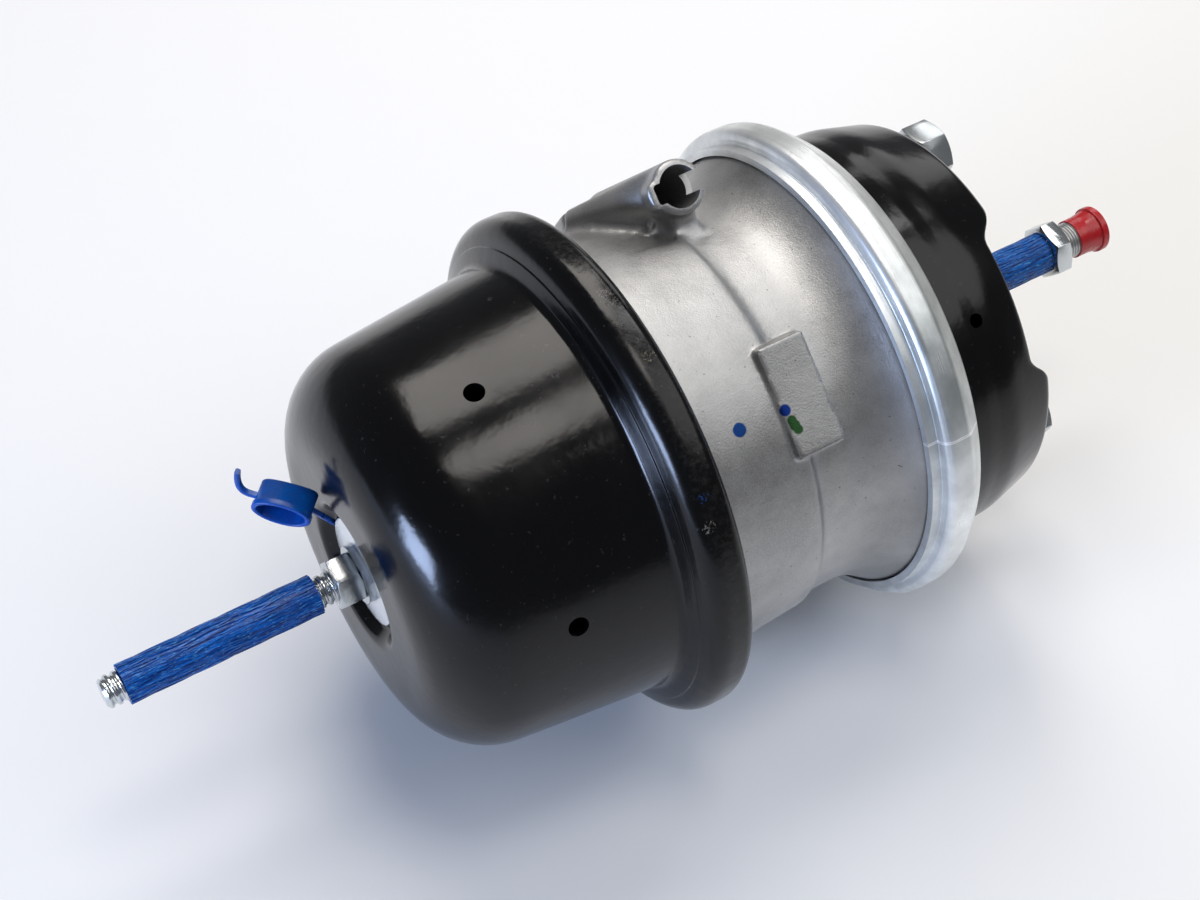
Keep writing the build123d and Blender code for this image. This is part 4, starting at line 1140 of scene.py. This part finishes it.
# ------------ pieces that bend
FLEXING = (
    ("spring_diaphragm", "spring_diaphragm_skin", "parking_piston"),
    ("service_diaphragm", "service_diaphragm_skin", "push_rod_set"),
    ("power_spring", "power_spring_coil", "parking_piston"),
    ("adapter_return_spring", "adapter_return_spring_coil", "parking_piston"),
    ("service_return_spring", "service_return_spring_coil", "push_rod_set"),
)


def flexing(node, name):
    """A copy of a diaphragm's or spring's mesh in place of its node: the diaphragms and the power
    spring stay fixed where they stand, and the other springs ride with the chamber.
    """
    piece = bpy.data.objects.new(name, frame["nodes"][node].data.copy())
    bpy.context.scene.collection.objects.link(piece)
    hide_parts(node)
    if node.endswith("diaphragm"):
        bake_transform(piece)
    elif node == "power_spring":
        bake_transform(piece)
    else:
        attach(piece, "chamber")
        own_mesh(piece)
    return piece


# ------------ dressing
def dress():
    """Every piece, with the node that it stands for, its body, its finish and its crisp edges."""
    finishes = all_finishes()

    def show(piece, node, body, slot, angle=32):
        smooth(piece, angle)
        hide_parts(node)
        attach(piece, body)
        finishes[slot].apply(piece)

    show(spring_housing(), "spring_housing", "chamber", "black_paint")
    show(service_housing(), "service_housing", "chamber", "black_paint")
    show(clamp_ring(), "clamp_ring", "chamber", "zinc_ring")
    show(flange_case(), "flange_case", "chamber", "cast_aluminium", 40)
    show(dust_plug(), "dust_plug", "chamber", "blue_plastic", 40)
    nut = hex_nut("release_nut_hex", "release_nut", AXIS, 19.05 * MM, 6.4 * MM, -5.5)
    show(nut, "release_nut", "release_nut_set", "zinc_hardware")
    show(release_bolt(), "release_bolt", "parking_piston", "zinc_hardware", 50)
    net = netting("release_bolt_sleeve", 6.65 * MM, 20)
    show(net, "release_bolt_sleeve", "chamber", "blue_mesh", 60)
    net = netting("push_rod_sleeve", 8.1 * MM, 26)
    show(net, "push_rod_sleeve", "push_rod_set", "blue_mesh", 60)
    show(push_rod(), "push_rod", "push_rod_set", "bare_steel", 50)
    nut = hex_nut("push_rod_jam_hex", "push_rod_jam_nut", AXIS, 22.2 * MM, 8.0 * MM, -10.8)
    show(nut, "push_rod_jam_nut", "push_rod_set", "zinc_hardware")
    show(push_rod_cap(), "push_rod_cap", "push_rod_set", "red_plastic")
    show(mounting_studs(), "mounting_studs", "chamber", "zinc_hardware", 50)
    show(mounting_nuts(), "stud_nuts", "chamber", "zinc_hardware", 50)

    slots = {part["node"]: part["material_slot"] for part in frame["record"]["subparts"]}
    for node, skin, body in FLEXING:
        piece = flexing(node, skin)
        finishes[slots[node]].apply(piece)
    for node, carried in frame["nodes"].items():
        finishes[slots[node]].apply(carried)


set_stage()
dress()
